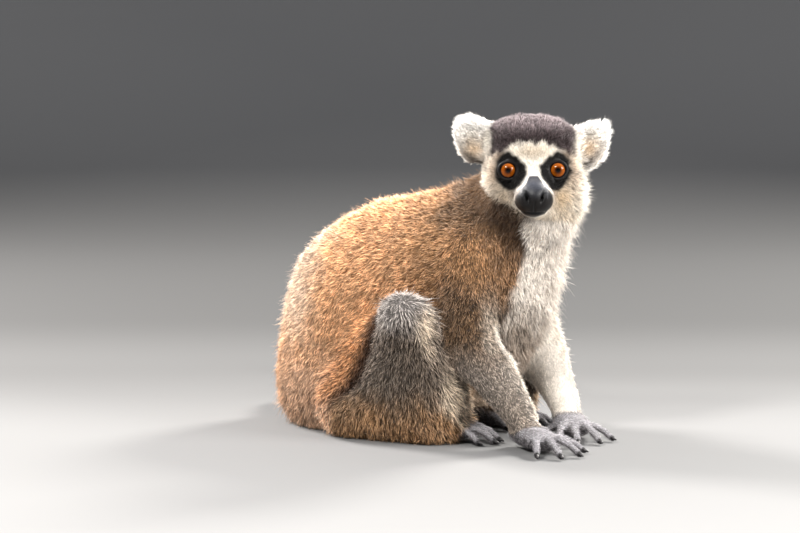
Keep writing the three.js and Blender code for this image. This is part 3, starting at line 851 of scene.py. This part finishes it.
# %% Streams of hair
JOINTS = {
    "hip": (-50, 32, 40), "knee": (26, 76, 97), "ankle": (46, 35, 23),
    "shoulder": (58, 33, 138), "elbow": (64, 44, 80), "wrist": (105, 36, 18),
}
# part: the joints it runs between, how strongly hair follows them (below zero, against them),
# and how much it hangs
LIMBS = {
    "thigh": ("hip", "knee", -0.4, 0.8), "shank": ("knee", "ankle", 1.0, 0.5),
    "upper_arm": ("shoulder", "elbow", 1.0, 0.3), "forearm": ("elbow", "wrist", 1.0, 0.0),
}
NOSE_ROOT = np.array([30, 0, -12])
DOWN = np.array([0, 0, -1.0])


def on(name, side):
    """Which vertices lie on that part of that side."""
    return node == NODES.index(f"{name}_{side}")


over_back = unit(np.column_stack([30 - high, np.zeros(len(points)), ahead - 22]) @ body_axes)
front_of_body = np.maximum(ramp(ahead, 42, 72), bib)[:, None]
stream = (0.85 * over_back + 0.5 * DOWN) * (1 - front_of_body) + DOWN * front_of_body
for side, way in (("left", 1), ("right", -1)):
    for name, (start, end, pull, droop) in LIMBS.items():
        run = (np.array(JOINTS[end]) - JOINTS[start]) * (1, way, 1)
        stream[on(name, side)] = pull * run / np.linalg.norm(run) @ body_axes + droop * DOWN
    stream[on("hand", side) | on("foot", side)] = body_axes[0] * 0.9 + DOWN * 0.3
    stream[on("ear", side)] = np.array([-0.35, way * 0.75, 0.6]) @ head_axes

from_nose = unit(in_head(points) - NOSE_ROOT)
from_nose += np.column_stack([np.full(len(points), -0.5), 0.28 * fine, -0.5 * ramp(up, 10, -20)])
here = any_of(part, "head", "muzzle", "eye")
stream[here] = (from_nose @ head_axes)[here]
here = any_of(part, "neck")
stream[here] = DOWN + 0.5 * over_back[here]
stream[on_tail] = unit(tail_way[nearest])

stream = relaxed(stream, pairs, 10)
lie = stream - (stream * normals).sum(1)[:, None] * normals
lie = unit(relaxed(lie, pairs, 6))
print("streams laid on", len(lie), "vertices")

# %% Length, width and cover of the tufts
hair = relaxed(np.array([COAT[name][1:] for name in PARTS])[part], pairs, 8)
hair_length, hair_width, grizzle = hair.T
face_area = ramp(forward, -8, 6) * ramp(up, 22, 14) * ramp(abs(left), 31, 24) * on_head
far_limb = on("upper_arm", "left") | on("forearm", "left")
breast = (far_limb | any_of(part, "neck") | (bib > 0.3)) * ramp(normals[:, 0], 0.3, 0.8)
shin = (soft["shank"] + soft["thigh"]) * ramp(facing, 0.3, 0.8) * ramp(high, 22, 40) * (aside < 0)
# how much longer or shorter the hair is, as a share
for change in (
    -0.5 * np.clip(face_area, 0, 1),
    0.9 * on_head * ramp(-up, -4, 20) * ramp(abs(left), 20, 30),
    0.9 * relaxed(breast, pairs, 6),
    (np.interp(tip_distance, (4, 15, 30, 50), (0.6, 0.9, 1.1, 1.3)) - 1) * paw,
    0.35 * ramp(high, 34, 14) * (soft["thigh"] + soft["shank"] + soft["trunk"]),
    -0.5 * fold * hump(from_leg, 7),
    0.8 * shin,
    -0.45 * near["forearm"] * ramp(tip_distance, 72, 48),
    0.6 * near["ear"] * hump(abs(left) - 48, 9) * hump(up - 30, 9),
    0.12 * rough,
):
    hair_length *= 1 + change
hair_length = np.maximum(hair_length, 1.5 * on_head)
hair_width *= 1 - 0.3 * np.clip(face_area, 0, 1)
grizzle *= 1 - 0.65 * ramp(colour.mean(axis=1), 0.5, 0.8)
grizzle += 0.35 * cap * on_head
cover = (1 - np.clip(bald * 1.5, 0, 1)) * (1 - 0.25 * soft["tail"])
cover *= 0.15 + 0.85 * ramp(points[:, 2], 0.5 * MM, 3.0 * MM)
print("hair length", hair_length.min().round(1), "to", hair_length.max().round(1), "mm")

# %% Name the patches of coat
# one row for each piece of coat: name, material slot, distance between tufts, how far a tuft
# stands off the skin against how far it lies along it, how unruly it is, size of a clump of
# tufts, how far its tips draw together, and how many stray (millimetres, and shares of one)
PATCHES = (
    ("coat_rump", "back_coat", 0.94, 1.0, 0.55, 1.8, 0.35, 0.08),
    ("coat_back_left", "back_coat", 0.94, 1.0, 0.55, 1.8, 0.35, 0.08),
    ("coat_back_right", "back_coat", 0.76, 1.0, 0.55, 1.7, 0.35, 0.08),
    ("coat_shoulders", "back_coat", 0.7, 0.95, 0.55, 1.6, 0.35, 0.08),
    ("coat_chest", "pale_coat", 0.78, 0.9, 0.5, 1.8, 0.35, 0.08),
    ("coat_neck", "pale_coat", 0.7, 0.9, 0.5, 1.7, 0.35, 0.08),
    ("coat_head", "pale_coat", 0.56, 0.8, 0.45, 1.2, 0.3, 0.01),
    ("coat_face", "pale_coat", 0.43, 0.5, 0.25, 0.9, 0.25, 0.0),
    ("coat_ears", "pale_coat", 0.48, 0.7, 0.4, 1.4, 0.3, 0.0),
    ("coat_arm_left", "pale_coat", 0.76, 0.9, 0.5, 1.6, 0.35, 0.06),
    ("coat_arm_right", "limb_coat", 0.66, 0.9, 0.5, 1.4, 0.35, 0.04),
    ("coat_leg_left", "limb_coat", 1.0, 0.9, 0.5, 1.6, 0.35, 0.06),
    ("coat_leg_right", "limb_coat", 0.78, 0.9, 0.5, 1.5, 0.35, 0.05),
    ("coat_hands_feet", "pale_coat", 0.74, 0.6, 0.5, 1.2, 0.3, 0.0),
    ("coat_tail_near", "tail_coat", 0.9, 0.75, 0.4, 2.5, 0.35, 0.04),
    ("coat_tail_far", "tail_coat", 0.9, 0.75, 0.4, 2.5, 0.35, 0.04),
)
PATCH_NAMES = [row[0] for row in PATCHES]


def patch_number(name):
    return PATCH_NAMES.index("coat_" + name)


# a later claim goes over an earlier one
patch = np.where(aside > 0, patch_number("back_left"), patch_number("back_right"))
for name, claimed in (
    ("rump", (high < 62) & (ahead < 10)),
    ("shoulders", ahead > 22),
    ("chest", (bib > 0.5) | ((ahead > 10) & (high < 62))),
    ("neck", any_of(part, "neck")),
    ("head", on_head > 0.5),
    ("face", (on_head > 0.5) & (face_area > 0.3)),
    ("ears", any_of(part, "ear")),
    *(("arm_" + side, on("upper_arm", side) | on("forearm", side)) for side in SIDES),
    *(("leg_" + side, on("thigh", side) | on("shank", side)) for side in SIDES),
    ("hands_feet", any_of(part, "hand", "foot")),
    ("tail_near", any_of(part, "tail")),
    ("tail_far", any_of(part, "tail") & (along_tail >= 0.5)),
):
    patch[claimed] = patch_number(name)
print("patches:", dict(zip(PATCH_NAMES, np.bincount(patch, minlength=len(PATCHES)).tolist())))

# %% Write all that on the skin


def write(mesh, name, kind, values, domain="POINT"):
    """Stores an attribute on the mesh."""
    layer = mesh.attributes.new(name, kind, domain)
    field = {"FLOAT": "value", "INT": "value", "FLOAT_VECTOR": "vector", "FLOAT_COLOR": "color"}
    layer.data.foreach_set(field[kind], np.asarray(values).astype(
        np.int32 if kind == "INT" else np.float32).ravel())


write(shell, "coat", "FLOAT_COLOR", np.column_stack([colour, np.ones(len(colour))]))
write(shell, "lie", "FLOAT_VECTOR", lie)
write(shell, "up_from_skin", "FLOAT_VECTOR", normals)
for name, values in (("hair_length", hair_length * MM), ("hair_width", hair_width * MM),
                     ("grizzle", grizzle), ("cover", cover), ("bald", bald)):
    write(shell, name, "FLOAT", values)
first_corner = np.array([polygon.vertices[0] for polygon in shell.polygons])
write(shell, "patch", "INT", patch[first_corner], "FACE")
print("skin attributes:", [layer.name for layer in shell.attributes])

# %% [markdown]
# ## Materials of skin and coat
# Both read the colour that was written on the skin, so they carry the same markings. A tuft is
# darker at its root, painted shade where light doesn't reach, and paler at its tip, partly
# painted light for light that shines through the hairs. On the limbs the coat is grizzled:
# light and dark hairs stand side by side, so each tuft gets its own tone. Fine noise breaks
# the colour up as single hairs do. Under the coat the skin is darker than the coat's colour:
# partly darker underfur, partly painted shade in the gaps between the tufts.

# %% Coat materials


def coat_finish(name, root_shade, tip_shade, gloss, contrast, waves=0.14, frosting=0.0):
    """Fur that is root_shade of its colour at the root and tip_shade at the tip."""
    made, tree, inputs = material(name, Roughness=gloss, Specular_IOR_Level=0.12,
                                  Sheen_Weight=0.12, Sheen_Roughness=0.4)
    along = attribute(tree, "along")
    shade = bands(tree, along, [(at, (root_shade + (tip_shade - root_shade) * share,) * 3)
                                for at, share in ((0, 0), (0.3, 0.3), (0.62, 0.72), (1, 1))])
    spread = sums(tree, "MULTIPLY_ADD", attribute(tree, "grizzle"), 1.9 * contrast, 0.4)
    tone = sums(tree, "SUBTRACT", attribute(tree, "tone"), 0.5)
    tone = sums(tree, "MAXIMUM", sums(tree, "MULTIPLY_ADD", tone, spread, 1.0), 0.15)
    strands = speckle(tree, 1700.0, 0.82, 1.18, 3.0)
    drift = speckle(tree, 110.0, 1 - waves, 1 + waves)
    shaded = times(tree, attribute(tree, "coat", "Color"), sums(tree, "MULTIPLY", tone, strands))
    shaded = times(tree, shaded, sums(tree, "MULTIPLY", drift, shade))
    pale_tip = sums(tree, "MAXIMUM", sums(tree, "SUBTRACT", tone, 0.9), 0.0)
    for factor in (along, along, frosting):
        pale_tip = sums(tree, "MULTIPLY", pale_tip, factor)
    pale_tip = times(tree, (0.9, 0.86, 0.8), pale_tip)
    shaded = add(tree, "ShaderNodeVectorMath", {0: shaded, 1: pale_tip}, operation="ADD")
    wire(tree, inputs["Base Color"], shaded.outputs[0])
    return made


finishes = {
    "back_coat": coat_finish("back_fur", 0.34, 1.42, 0.75, 1.0, 0.34, 0.5),
    "pale_coat": coat_finish("pale_fur", 0.72, 1.20, 0.75, 0.6),
    "limb_coat": coat_finish("limb_fur", 0.26, 1.60, 0.72, 1.1, 0.2, 0.25),
    "tail_coat": coat_finish("tail_fur", 0.45, 1.20, 0.72, 0.8),
}
print("coats:", ", ".join(finishes))

# %% Skin material
skin_finish, tree, inputs = material("skin", Specular_IOR_Level=0.25)
bare = attribute(tree, "bald")
# the skin under the coat is darker than the coat's colour: partly darker underfur, partly painted shade
# in the gaps between tufts; bare skin keeps its colour
undercoat_and_shade = sums(tree, "MULTIPLY_ADD", attribute(tree, "grizzle"), -0.65, 0.88)
undercoat_and_shade = sums(tree, "MAXIMUM", undercoat_and_shade, bare)
undercoat_and_shade = sums(tree, "MULTIPLY", undercoat_and_shade, speckle(tree, 600.0, 0.8, 1.2))
wire(tree, inputs["Base Color"], times(tree, attribute(tree, "coat", "Color"), undercoat_and_shade))
wire(tree, inputs["Roughness"], scaled(tree, bare, 0.85, 0.46))
pores = add(tree, "ShaderNodeTexVoronoi", {"Vector": own_place(tree), "Scale": 1500.0})
leather = add(tree, "ShaderNodeBump",
              {"Strength": 0.35, "Distance": 0.0003, "Height": pores.outputs["Distance"]})
wire(tree, inputs["Normal"], leather.outputs["Normal"])
shell.materials.clear()
shell.materials.append(skin_finish)
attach(skin, "root")
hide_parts(*FLESH)
print("materials:", [m.name for m in bpy.data.materials])

# %% [markdown]
# ## Tufts by Geometry Nodes
# Hair curves would be the natural tool, but they don't leave Blender, so every tuft is a small
# closed spike with three sides that bends as it rises. Geometry Nodes scatter points over one
# patch of skin, never closer than a set spacing, and stand a spike on each. The spike leans
# along the lie of the coat, noise makes neighbours turn together into locks, and chance makes
# each a little different. The last nodes turn the copies into real mesh, and give each tuft its
# own small patch of the map that a painter would use.

# %% The tree that grows tufts
TUFT_SIDES = 3
TUFT_STEPS = 2
MAP_PATCH = 0.003
LOWEST = 0.0001
# each input's name, kind and usual value
SOCKETS = (
    ("Skin", "Geometry", None), ("Patch", "Int", 0), ("Spacing", "Float", 0.001),
    ("Lift", "Float", 0.55), ("Lock Size", "Float", 0.005), ("Lock Turn", "Float", 0.4),
    ("Unruly", "Float", 0.3), ("Bend", "Float", 0.18), ("Clump Size", "Float", 0.003),
    ("Gather", "Float", 0.4), ("Stray", "Float", 0.05), ("Seed", "Int", 1),
    ("Map Centre", "Vector", (0, 0, 0)), ("Map Axis", "Vector", (0, 0, 1)),
    ("Map Side", "Vector", (1, 0, 0)), ("Map Low", "Float", 0.0), ("Map High", "Float", 1.0),
    ("Finish", "Material", None),
)
tufts = bpy.data.node_groups.new("tufts", "GeometryNodeTree")
for name, kind, start in SOCKETS:
    socket = tufts.interface.new_socket(name, in_out="INPUT", socket_type="NodeSocket" + kind)
    if start is not None:
        socket.default_value = start
tufts.interface.new_socket("Coat", in_out="OUTPUT", socket_type="NodeSocketGeometry")
given = tufts.nodes.new("NodeGroupInput").outputs
number, step, stretched = partial(sums, tufts), partial(add, tufts), partial(times, tufts)


def fed(made, *values):
    """Gives a node's live inputs these values. Returns its first live output."""
    for socket, value in zip([s for s in made.inputs if s.enabled], values):
        wire(tufts, socket, value)
    return next(s for s in made.outputs if s.enabled)


def named(name, kind="FLOAT"):
    """An attribute read inside the tree."""
    return fed(step("GeometryNodeInputNamedAttribute", {"Name": name}, data_type=kind))


def vectors(operation, *values, output="Vector"):
    return step("ShaderNodeVectorMath", enumerate(values), operation=operation).outputs[output]


def dot(first, second):
    return vectors("DOT_PRODUCT", first, second, output="Value")


def added(first, *others):
    """The sum of some vectors."""
    for other in others:
        first = vectors("ADD", first, other)
    return first


def xyz(x, y, z=0.0):
    return step("ShaderNodeCombineXYZ", {"X": x, "Y": y, "Z": z}).outputs[0]


def chance(low, high, offset):
    """A random number for each tuft."""
    seed = number("ADD", given["Seed"], offset)
    return fed(step("FunctionNodeRandomValue", {"Seed": seed}, data_type="FLOAT"), low, high)


def kept(geometry, name, kind, value, domain="POINT"):
    """Stores a named attribute on the geometry."""
    made = step("GeometryNodeStoreNamedAttribute", {"Geometry": geometry, "Name": name},
                data_type=kind, domain=domain)
    wire(tufts, next(s for s in made.inputs if s.enabled and s.name == "Value"), value)
    return made.outputs["Geometry"]


# one spike, a unit long, nearly as wide halfway up as at its foot
spike = step("GeometryNodeMeshCone",
             {"Vertices": TUFT_SIDES, "Side Segments": TUFT_STEPS, "Radius Bottom": 0.5,
              "Radius Top": 0.0, "Depth": 1.0}, fill_type="NGON").outputs["Mesh"]
here = step("GeometryNodeInputPosition").outputs[0]
x, y, rise = step("ShaderNodeSeparateXYZ", {0: here}).outputs
spike = kept(spike, "along", "FLOAT", rise)
belly = number("MULTIPLY", rise, number("SUBTRACT", 1.0, rise))
belly = number("MULTIPLY_ADD", belly, 2.8, 0.75)
bowed = xyz(number("MULTIPLY", x, belly), number("MULTIPLY", y, belly), rise)
spike = step("GeometryNodeSetPosition", {"Geometry": spike, "Position": bowed}).outputs[0]
spike = kept(spike, "spike_side", "FLOAT", y)

# roots on this patch of skin
chosen = fed(step("FunctionNodeCompare", data_type="INT", operation="EQUAL"),
             named("patch", "INT"), given["Patch"])
squared = number("MULTIPLY", given["Spacing"], given["Spacing"])
roots = step("GeometryNodeDistributePointsOnFaces",
             {"Mesh": given["Skin"], "Selection": chosen, "Distance Min": given["Spacing"],
              "Density Max": number("DIVIDE", 1.6, squared), "Density Factor": named("cover"),
              "Seed": given["Seed"]}, distribute_method="POISSON")

# neighbours clump: each tuft belongs to the nearest of many scattered places
clumps = step("ShaderNodeTexVoronoi",
              {"Vector": here, "Scale": number("DIVIDE", 1.0, given["Clump Size"])}).outputs
clump_tone = step("ShaderNodeSeparateXYZ", {0: clumps["Color"]}).outputs["X"]
tone = number("MULTIPLY_ADD", clump_tone, 0.55, chance(0.0, 0.45, 3))
cloud = kept(roots.outputs["Points"], "tone", "FLOAT", tone)

# where the root lies on the map: round the patch's axis, and along it
arm_to_root = vectors("SUBTRACT", here, given["Map Centre"])
map_other = vectors("CROSS_PRODUCT", given["Map Axis"], given["Map Side"])
bearing = number("ARCTAN2", dot(arm_to_root, map_other), dot(arm_to_root, given["Map Side"]))
around = number("MULTIPLY_ADD", bearing, 0.49 / math.pi, 0.5)
along_axis = scaled(tufts, dot(arm_to_root, given["Map Axis"]), 0.01, 0.99,
                    given["Map Low"], given["Map High"])
cloud = kept(cloud, "root_on_map", "FLOAT_VECTOR", xyz(around, along_axis))

# the way each tuft leans
skin_up = named("up_from_skin", "FLOAT_VECTOR")
locks = step("ShaderNodeTexNoise",
             {"Vector": here, "Scale": number("DIVIDE", 1.0, given["Lock Size"]), "Detail": 1.0})
turned = stretched(vectors("SUBTRACT", locks.outputs["Color"], (0.5, 0.5, 0.5)),
                   number("MULTIPLY", given["Lock Turn"], 4.0))
loose = xyz(*(chance(-1.0, 1.0, offset) for offset in (11, 12, 13)))
lean = added(named("lie", "FLOAT_VECTOR"), stretched(skin_up, given["Lift"]), turned,
             stretched(loose, given["Unruly"]))
lacking = number("MAXIMUM", number("SUBTRACT", 0.22, dot(lean, skin_up)), 0.0)
lean = added(lean, stretched(skin_up, lacking))
stance = step("FunctionNodeAlignRotationToVector", {"Vector": lean}, axis="Z").outputs[0]
stance = step("FunctionNodeAlignRotationToVector",
              {"Rotation": stance, "Vector": stretched(skin_up, -1.0)},
              axis="X", pivot_axis="Z").outputs[0]

# its size, and the few stray ones that are longer and thinner
stray = number("LESS_THAN", chance(0.0, 1.0, 31), given["Stray"])


def measure(name, low, high, offset, more):
    """The skin's own measure, times a chance, and that much more for a stray tuft."""
    usual = number("MULTIPLY", named(name), chance(low, high, offset))
    return number("MULTIPLY", usual, number("MULTIPLY_ADD", stray, more, 1.0))


length = measure("hair_length", 0.72, 1.2, 21, 0.7)
width = measure("hair_width", 0.75, 1.25, 22, -0.4)
droop = number("MULTIPLY", number("MULTIPLY", given["Bend"], length), -1.0)
to_clump = vectors("SUBTRACT", clumps["Position"], here)
to_clump = vectors("SUBTRACT", to_clump, stretched(skin_up, dot(to_clump, skin_up)))
gather = number("MULTIPLY", given["Gather"], number("SUBTRACT", 1.0, stray))
curl = added(stretched(skin_up, droop), stretched(turned, number("MULTIPLY", length, 0.35)),
             stretched(to_clump, gather))
cloud = kept(cloud, "curl", "FLOAT_VECTOR", curl)
stood = step("GeometryNodeInstanceOnPoints",
             {"Points": cloud, "Instance": spike, "Rotation": stance,
              "Scale": xyz(width, width, length)}).outputs[0]
coat = step("GeometryNodeRealizeInstances", {"Geometry": stood}).outputs[0]

# bend each spike over, write its patch of the map, and finish
along = named("along")
bow = stretched(named("curl", "FLOAT_VECTOR"), number("POWER", along, 1.5))
x, y, z = step("ShaderNodeSeparateXYZ", {0: added(here, bow)}).outputs
above_floor = xyz(x, y, number("MAXIMUM", z, LOWEST))
coat = step("GeometryNodeSetPosition", {"Geometry": coat, "Position": above_floor}).outputs[0]
patch_place = xyz(named("spike_side"), number("SUBTRACT", along, 0.5))
on_map = added(named("root_on_map", "FLOAT_VECTOR"), stretched(patch_place, MAP_PATCH))
coat = kept(coat, "OFBake", "FLOAT2", on_map, "CORNER")
coat = step("GeometryNodeSetShadeSmooth", {"Geometry": coat}).outputs[0]
coat = step("GeometryNodeSetMaterial", {"Geometry": coat, "Material": given["Finish"]}).outputs[0]
wire(tufts, tufts.nodes.new("NodeGroupOutput").inputs["Coat"], coat)
print("tuft tree:", len(tufts.nodes), "nodes")

# %% Grow every patch
KEPT_ATTRIBUTES = {"coat", "tone", "grizzle", "along", "OFBake"}


def set_inputs(modifier, values):
    """Sets a node modifier's inputs by their sockets' identifiers."""
    identifiers = {item.name: item.identifier for item in tufts.interface.items_tree
                   if item.in_out == "INPUT"}
    for name, value in values.items():
        modifier[identifiers[name]] = value


def grow(name, slot, spacing, lift, unruly, clump, gather, stray, seed):
    """One piece of coat, as plain mesh."""
    chosen = points[patch == PATCH_NAMES.index(name)]
    middle = chosen.mean(axis=0)
    spread, axes = np.linalg.eigh(np.cov((chosen - middle).T))
    axis, side = axes[:, 2], axes[:, 1]
    reach = (chosen - middle) @ axis
    piece = shown(name, shell.copy())
    growth = piece.modifiers.new("tufts", "NODES")
    growth.node_group = tufts
    set_inputs(growth, {
        "Patch": PATCH_NAMES.index(name), "Spacing": spacing * MM, "Seed": seed,
        "Lift": lift, "Unruly": unruly, "Clump Size": clump * MM, "Gather": gather, "Stray": stray,
        "Map Centre": middle, "Map Axis": axis, "Map Side": side,
        "Map Low": float(reach.min()), "Map High": float(reach.max()), "Finish": finishes[slot],
    })
    mesh = applied(piece)
    mesh.name = name
    for layer in [layer.name for layer in mesh.attributes]:
        helper = mesh.attributes.get(layer)
        if not helper.is_internal and not helper.is_required and layer not in KEPT_ATTRIBUTES:
            mesh.attributes.remove(helper)
    mesh.materials.clear()
    mesh.materials.append(finishes[slot])
    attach(piece, "root")
    corners = sum(len(polygon.vertices) - 2 for polygon in mesh.polygons)
    print(f"{name}: {corners} triangles, {len(mesh.vertices) // 7} tufts")
    return corners


total = sum(grow(*row, 100 + i) for i, row in enumerate(PATCHES))
print("coat in all:", total, "triangles")

# %% [markdown]
# ## Eyes
# The eye is the one glossy thing on the animal. The real one is a ball of white with a disc of
# iris behind a clear bulge, the cornea. Here one closed ball bulges at the front and carries the
# iris as a pattern on its own map, under a hard clear coat: it looks the same and exports well.

# %% Eye shape
EYE_ROUNDS, EYE_RINGS = 48, 28
CORNEA_BULGE = 0.75 * MM
CORNEA_ANGLE = 44.0


def eyeball(side):
    """A closed ball whose pole looks forward, with a map that is flat on the iris."""
    centre = eye_place[side]
    ball = bmesh.new()
    bmesh.ops.create_uvsphere(ball, u_segments=EYE_ROUNDS, v_segments=EYE_RINGS, radius=eye_radius)
    iris_map = ball.loops.layers.uv.new("iris")
    seen = {}
    for vertex in ball.verts:
        direction = vertex.co.normalized()
        angle = math.degrees(math.acos(max(-1, min(1, direction.z))))
        bulge = CORNEA_BULGE * max(0.0, math.cos(math.radians(90 * min(1, angle / CORNEA_ANGLE)))) ** 1.3
        radius = eye_radius + bulge
        flat = min(angle, 89.0) / 90
        around = math.atan2(direction.y, direction.x)
        seen[vertex.index] = (0.5 + 0.5 * flat * math.cos(around), 0.5 + 0.5 * flat * math.sin(around))
        turned = (head_forward * direction.z + head_left * direction.x + head_up * direction.y)
        vertex.co = centre + turned * radius
    for face in ball.faces:
        for loop in face.loops:
            loop[iris_map].uv = seen[loop.vert.index]
    bmesh.ops.recalc_face_normals(ball, faces=ball.faces)
    return finished(ball, "eyeball_" + side)


# %% Eye finish
PUPIL, IRIS = 0.12, 0.44
ZONES = ((0.0, "020202"), (PUPIL - 0.03, "040202"), (PUPIL + 0.03, "3A1803"), (0.25, "783A06"),
         (0.36, "8A470A"), (IRIS - 0.03, "4A2105"), (IRIS, "0A0504"), (1.0, "060404"))

eye_finish, tree, inputs = material("amber_eye", Roughness=0.22, Specular_IOR_Level=0.0,
                                    Coat_Weight=1.0, Coat_Roughness=0.02, Coat_IOR=1.28)
spot_map = add(tree, "ShaderNodeUVMap", uv_map="iris").outputs[0]
centred = add(tree, "ShaderNodeVectorMath", {0: spot_map, 1: (0.5, 0.5, 0.0)},
              operation="SUBTRACT").outputs[0]
out = add(tree, "ShaderNodeVectorMath", {0: centred}, operation="LENGTH").outputs["Value"]
out = sums(tree, "MULTIPLY", out, 2.0)
x, y, _ = add(tree, "ShaderNodeSeparateXYZ", {0: centred}).outputs
bearing = sums(tree, "MULTIPLY", sums(tree, "ARCTAN2", y, x), 6.0)
rays = add(tree, "ShaderNodeCombineXYZ", {"X": bearing, "Y": sums(tree, "MULTIPLY", out, 3.0)})
rays = add(tree, "ShaderNodeTexNoise", {"Vector": rays.outputs[0], "Scale": 2.5, "Detail": 4.0}
           ).outputs["Fac"]
ragged = sums(tree, "MULTIPLY_ADD", sums(tree, "SUBTRACT", rays, 0.5), 0.03, out)
zones = bands(tree, ragged, [(at, paint(code)) for at, code in ZONES])
wire(tree, inputs["Base Color"], times(tree, zones, scaled(tree, rays, 0.7, 1.35, 0.3, 0.7)))

for side in SIDES:
    ball = eyeball(side)
    ball.data.materials.append(eye_finish)
    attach(ball, "root")
    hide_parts("eye_" + side)
    print(ball.name, len(ball.data.polygons), "faces")

# %% [markdown]
# ## Nails
# Each finger and toe ends in a small dark nail that lies flat on it, like ours. Twenty of one
# kind would suit Geometry Nodes too, but each sits at a known tip with a known heading, so one
# short loop places a pinched ball on each and keeps them together in one mesh.

# %% Nails on the fingertips
NAIL_HALF = (2.7, 1.5, 1.0)
NAIL_DROOP = math.radians(24)

nails = bmesh.new()
for tip, way in FINGERTIPS:
    way = Vector(way)
    across = Vector((0, 0, 1)).cross(way).normalized()
    along_nail = (way * math.cos(NAIL_DROOP) + Vector((0, 0, -math.sin(NAIL_DROOP)))).normalized()
    out_of_nail = along_nail.cross(across)
    made = bmesh.ops.create_uvsphere(nails, u_segments=12, v_segments=8, radius=1.0)
    for vertex in made["verts"]:
        x, y, z = vertex.co
        pinch = 1 - 0.35 * max(x, 0.0)
        vertex.co = (Vector(tip) + along_nail * x * NAIL_HALF[0] * MM
                     + across * y * pinch * NAIL_HALF[1] * MM + out_of_nail * z * NAIL_HALF[2] * MM)
bmesh.ops.recalc_face_normals(nails, faces=nails.faces)
nail_object = finished(nails, "nails")
nail_finish, tree, inputs = material("horn", Roughness=0.45)
wire(tree, inputs["Base Color"],
     times(tree, (0.012, 0.010, 0.011), speckle(tree, 900.0, 0.6, 1.8)))
nail_object.data.materials.append(nail_finish)
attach(nail_object, "root")
print("nails:", len(FINGERTIPS))
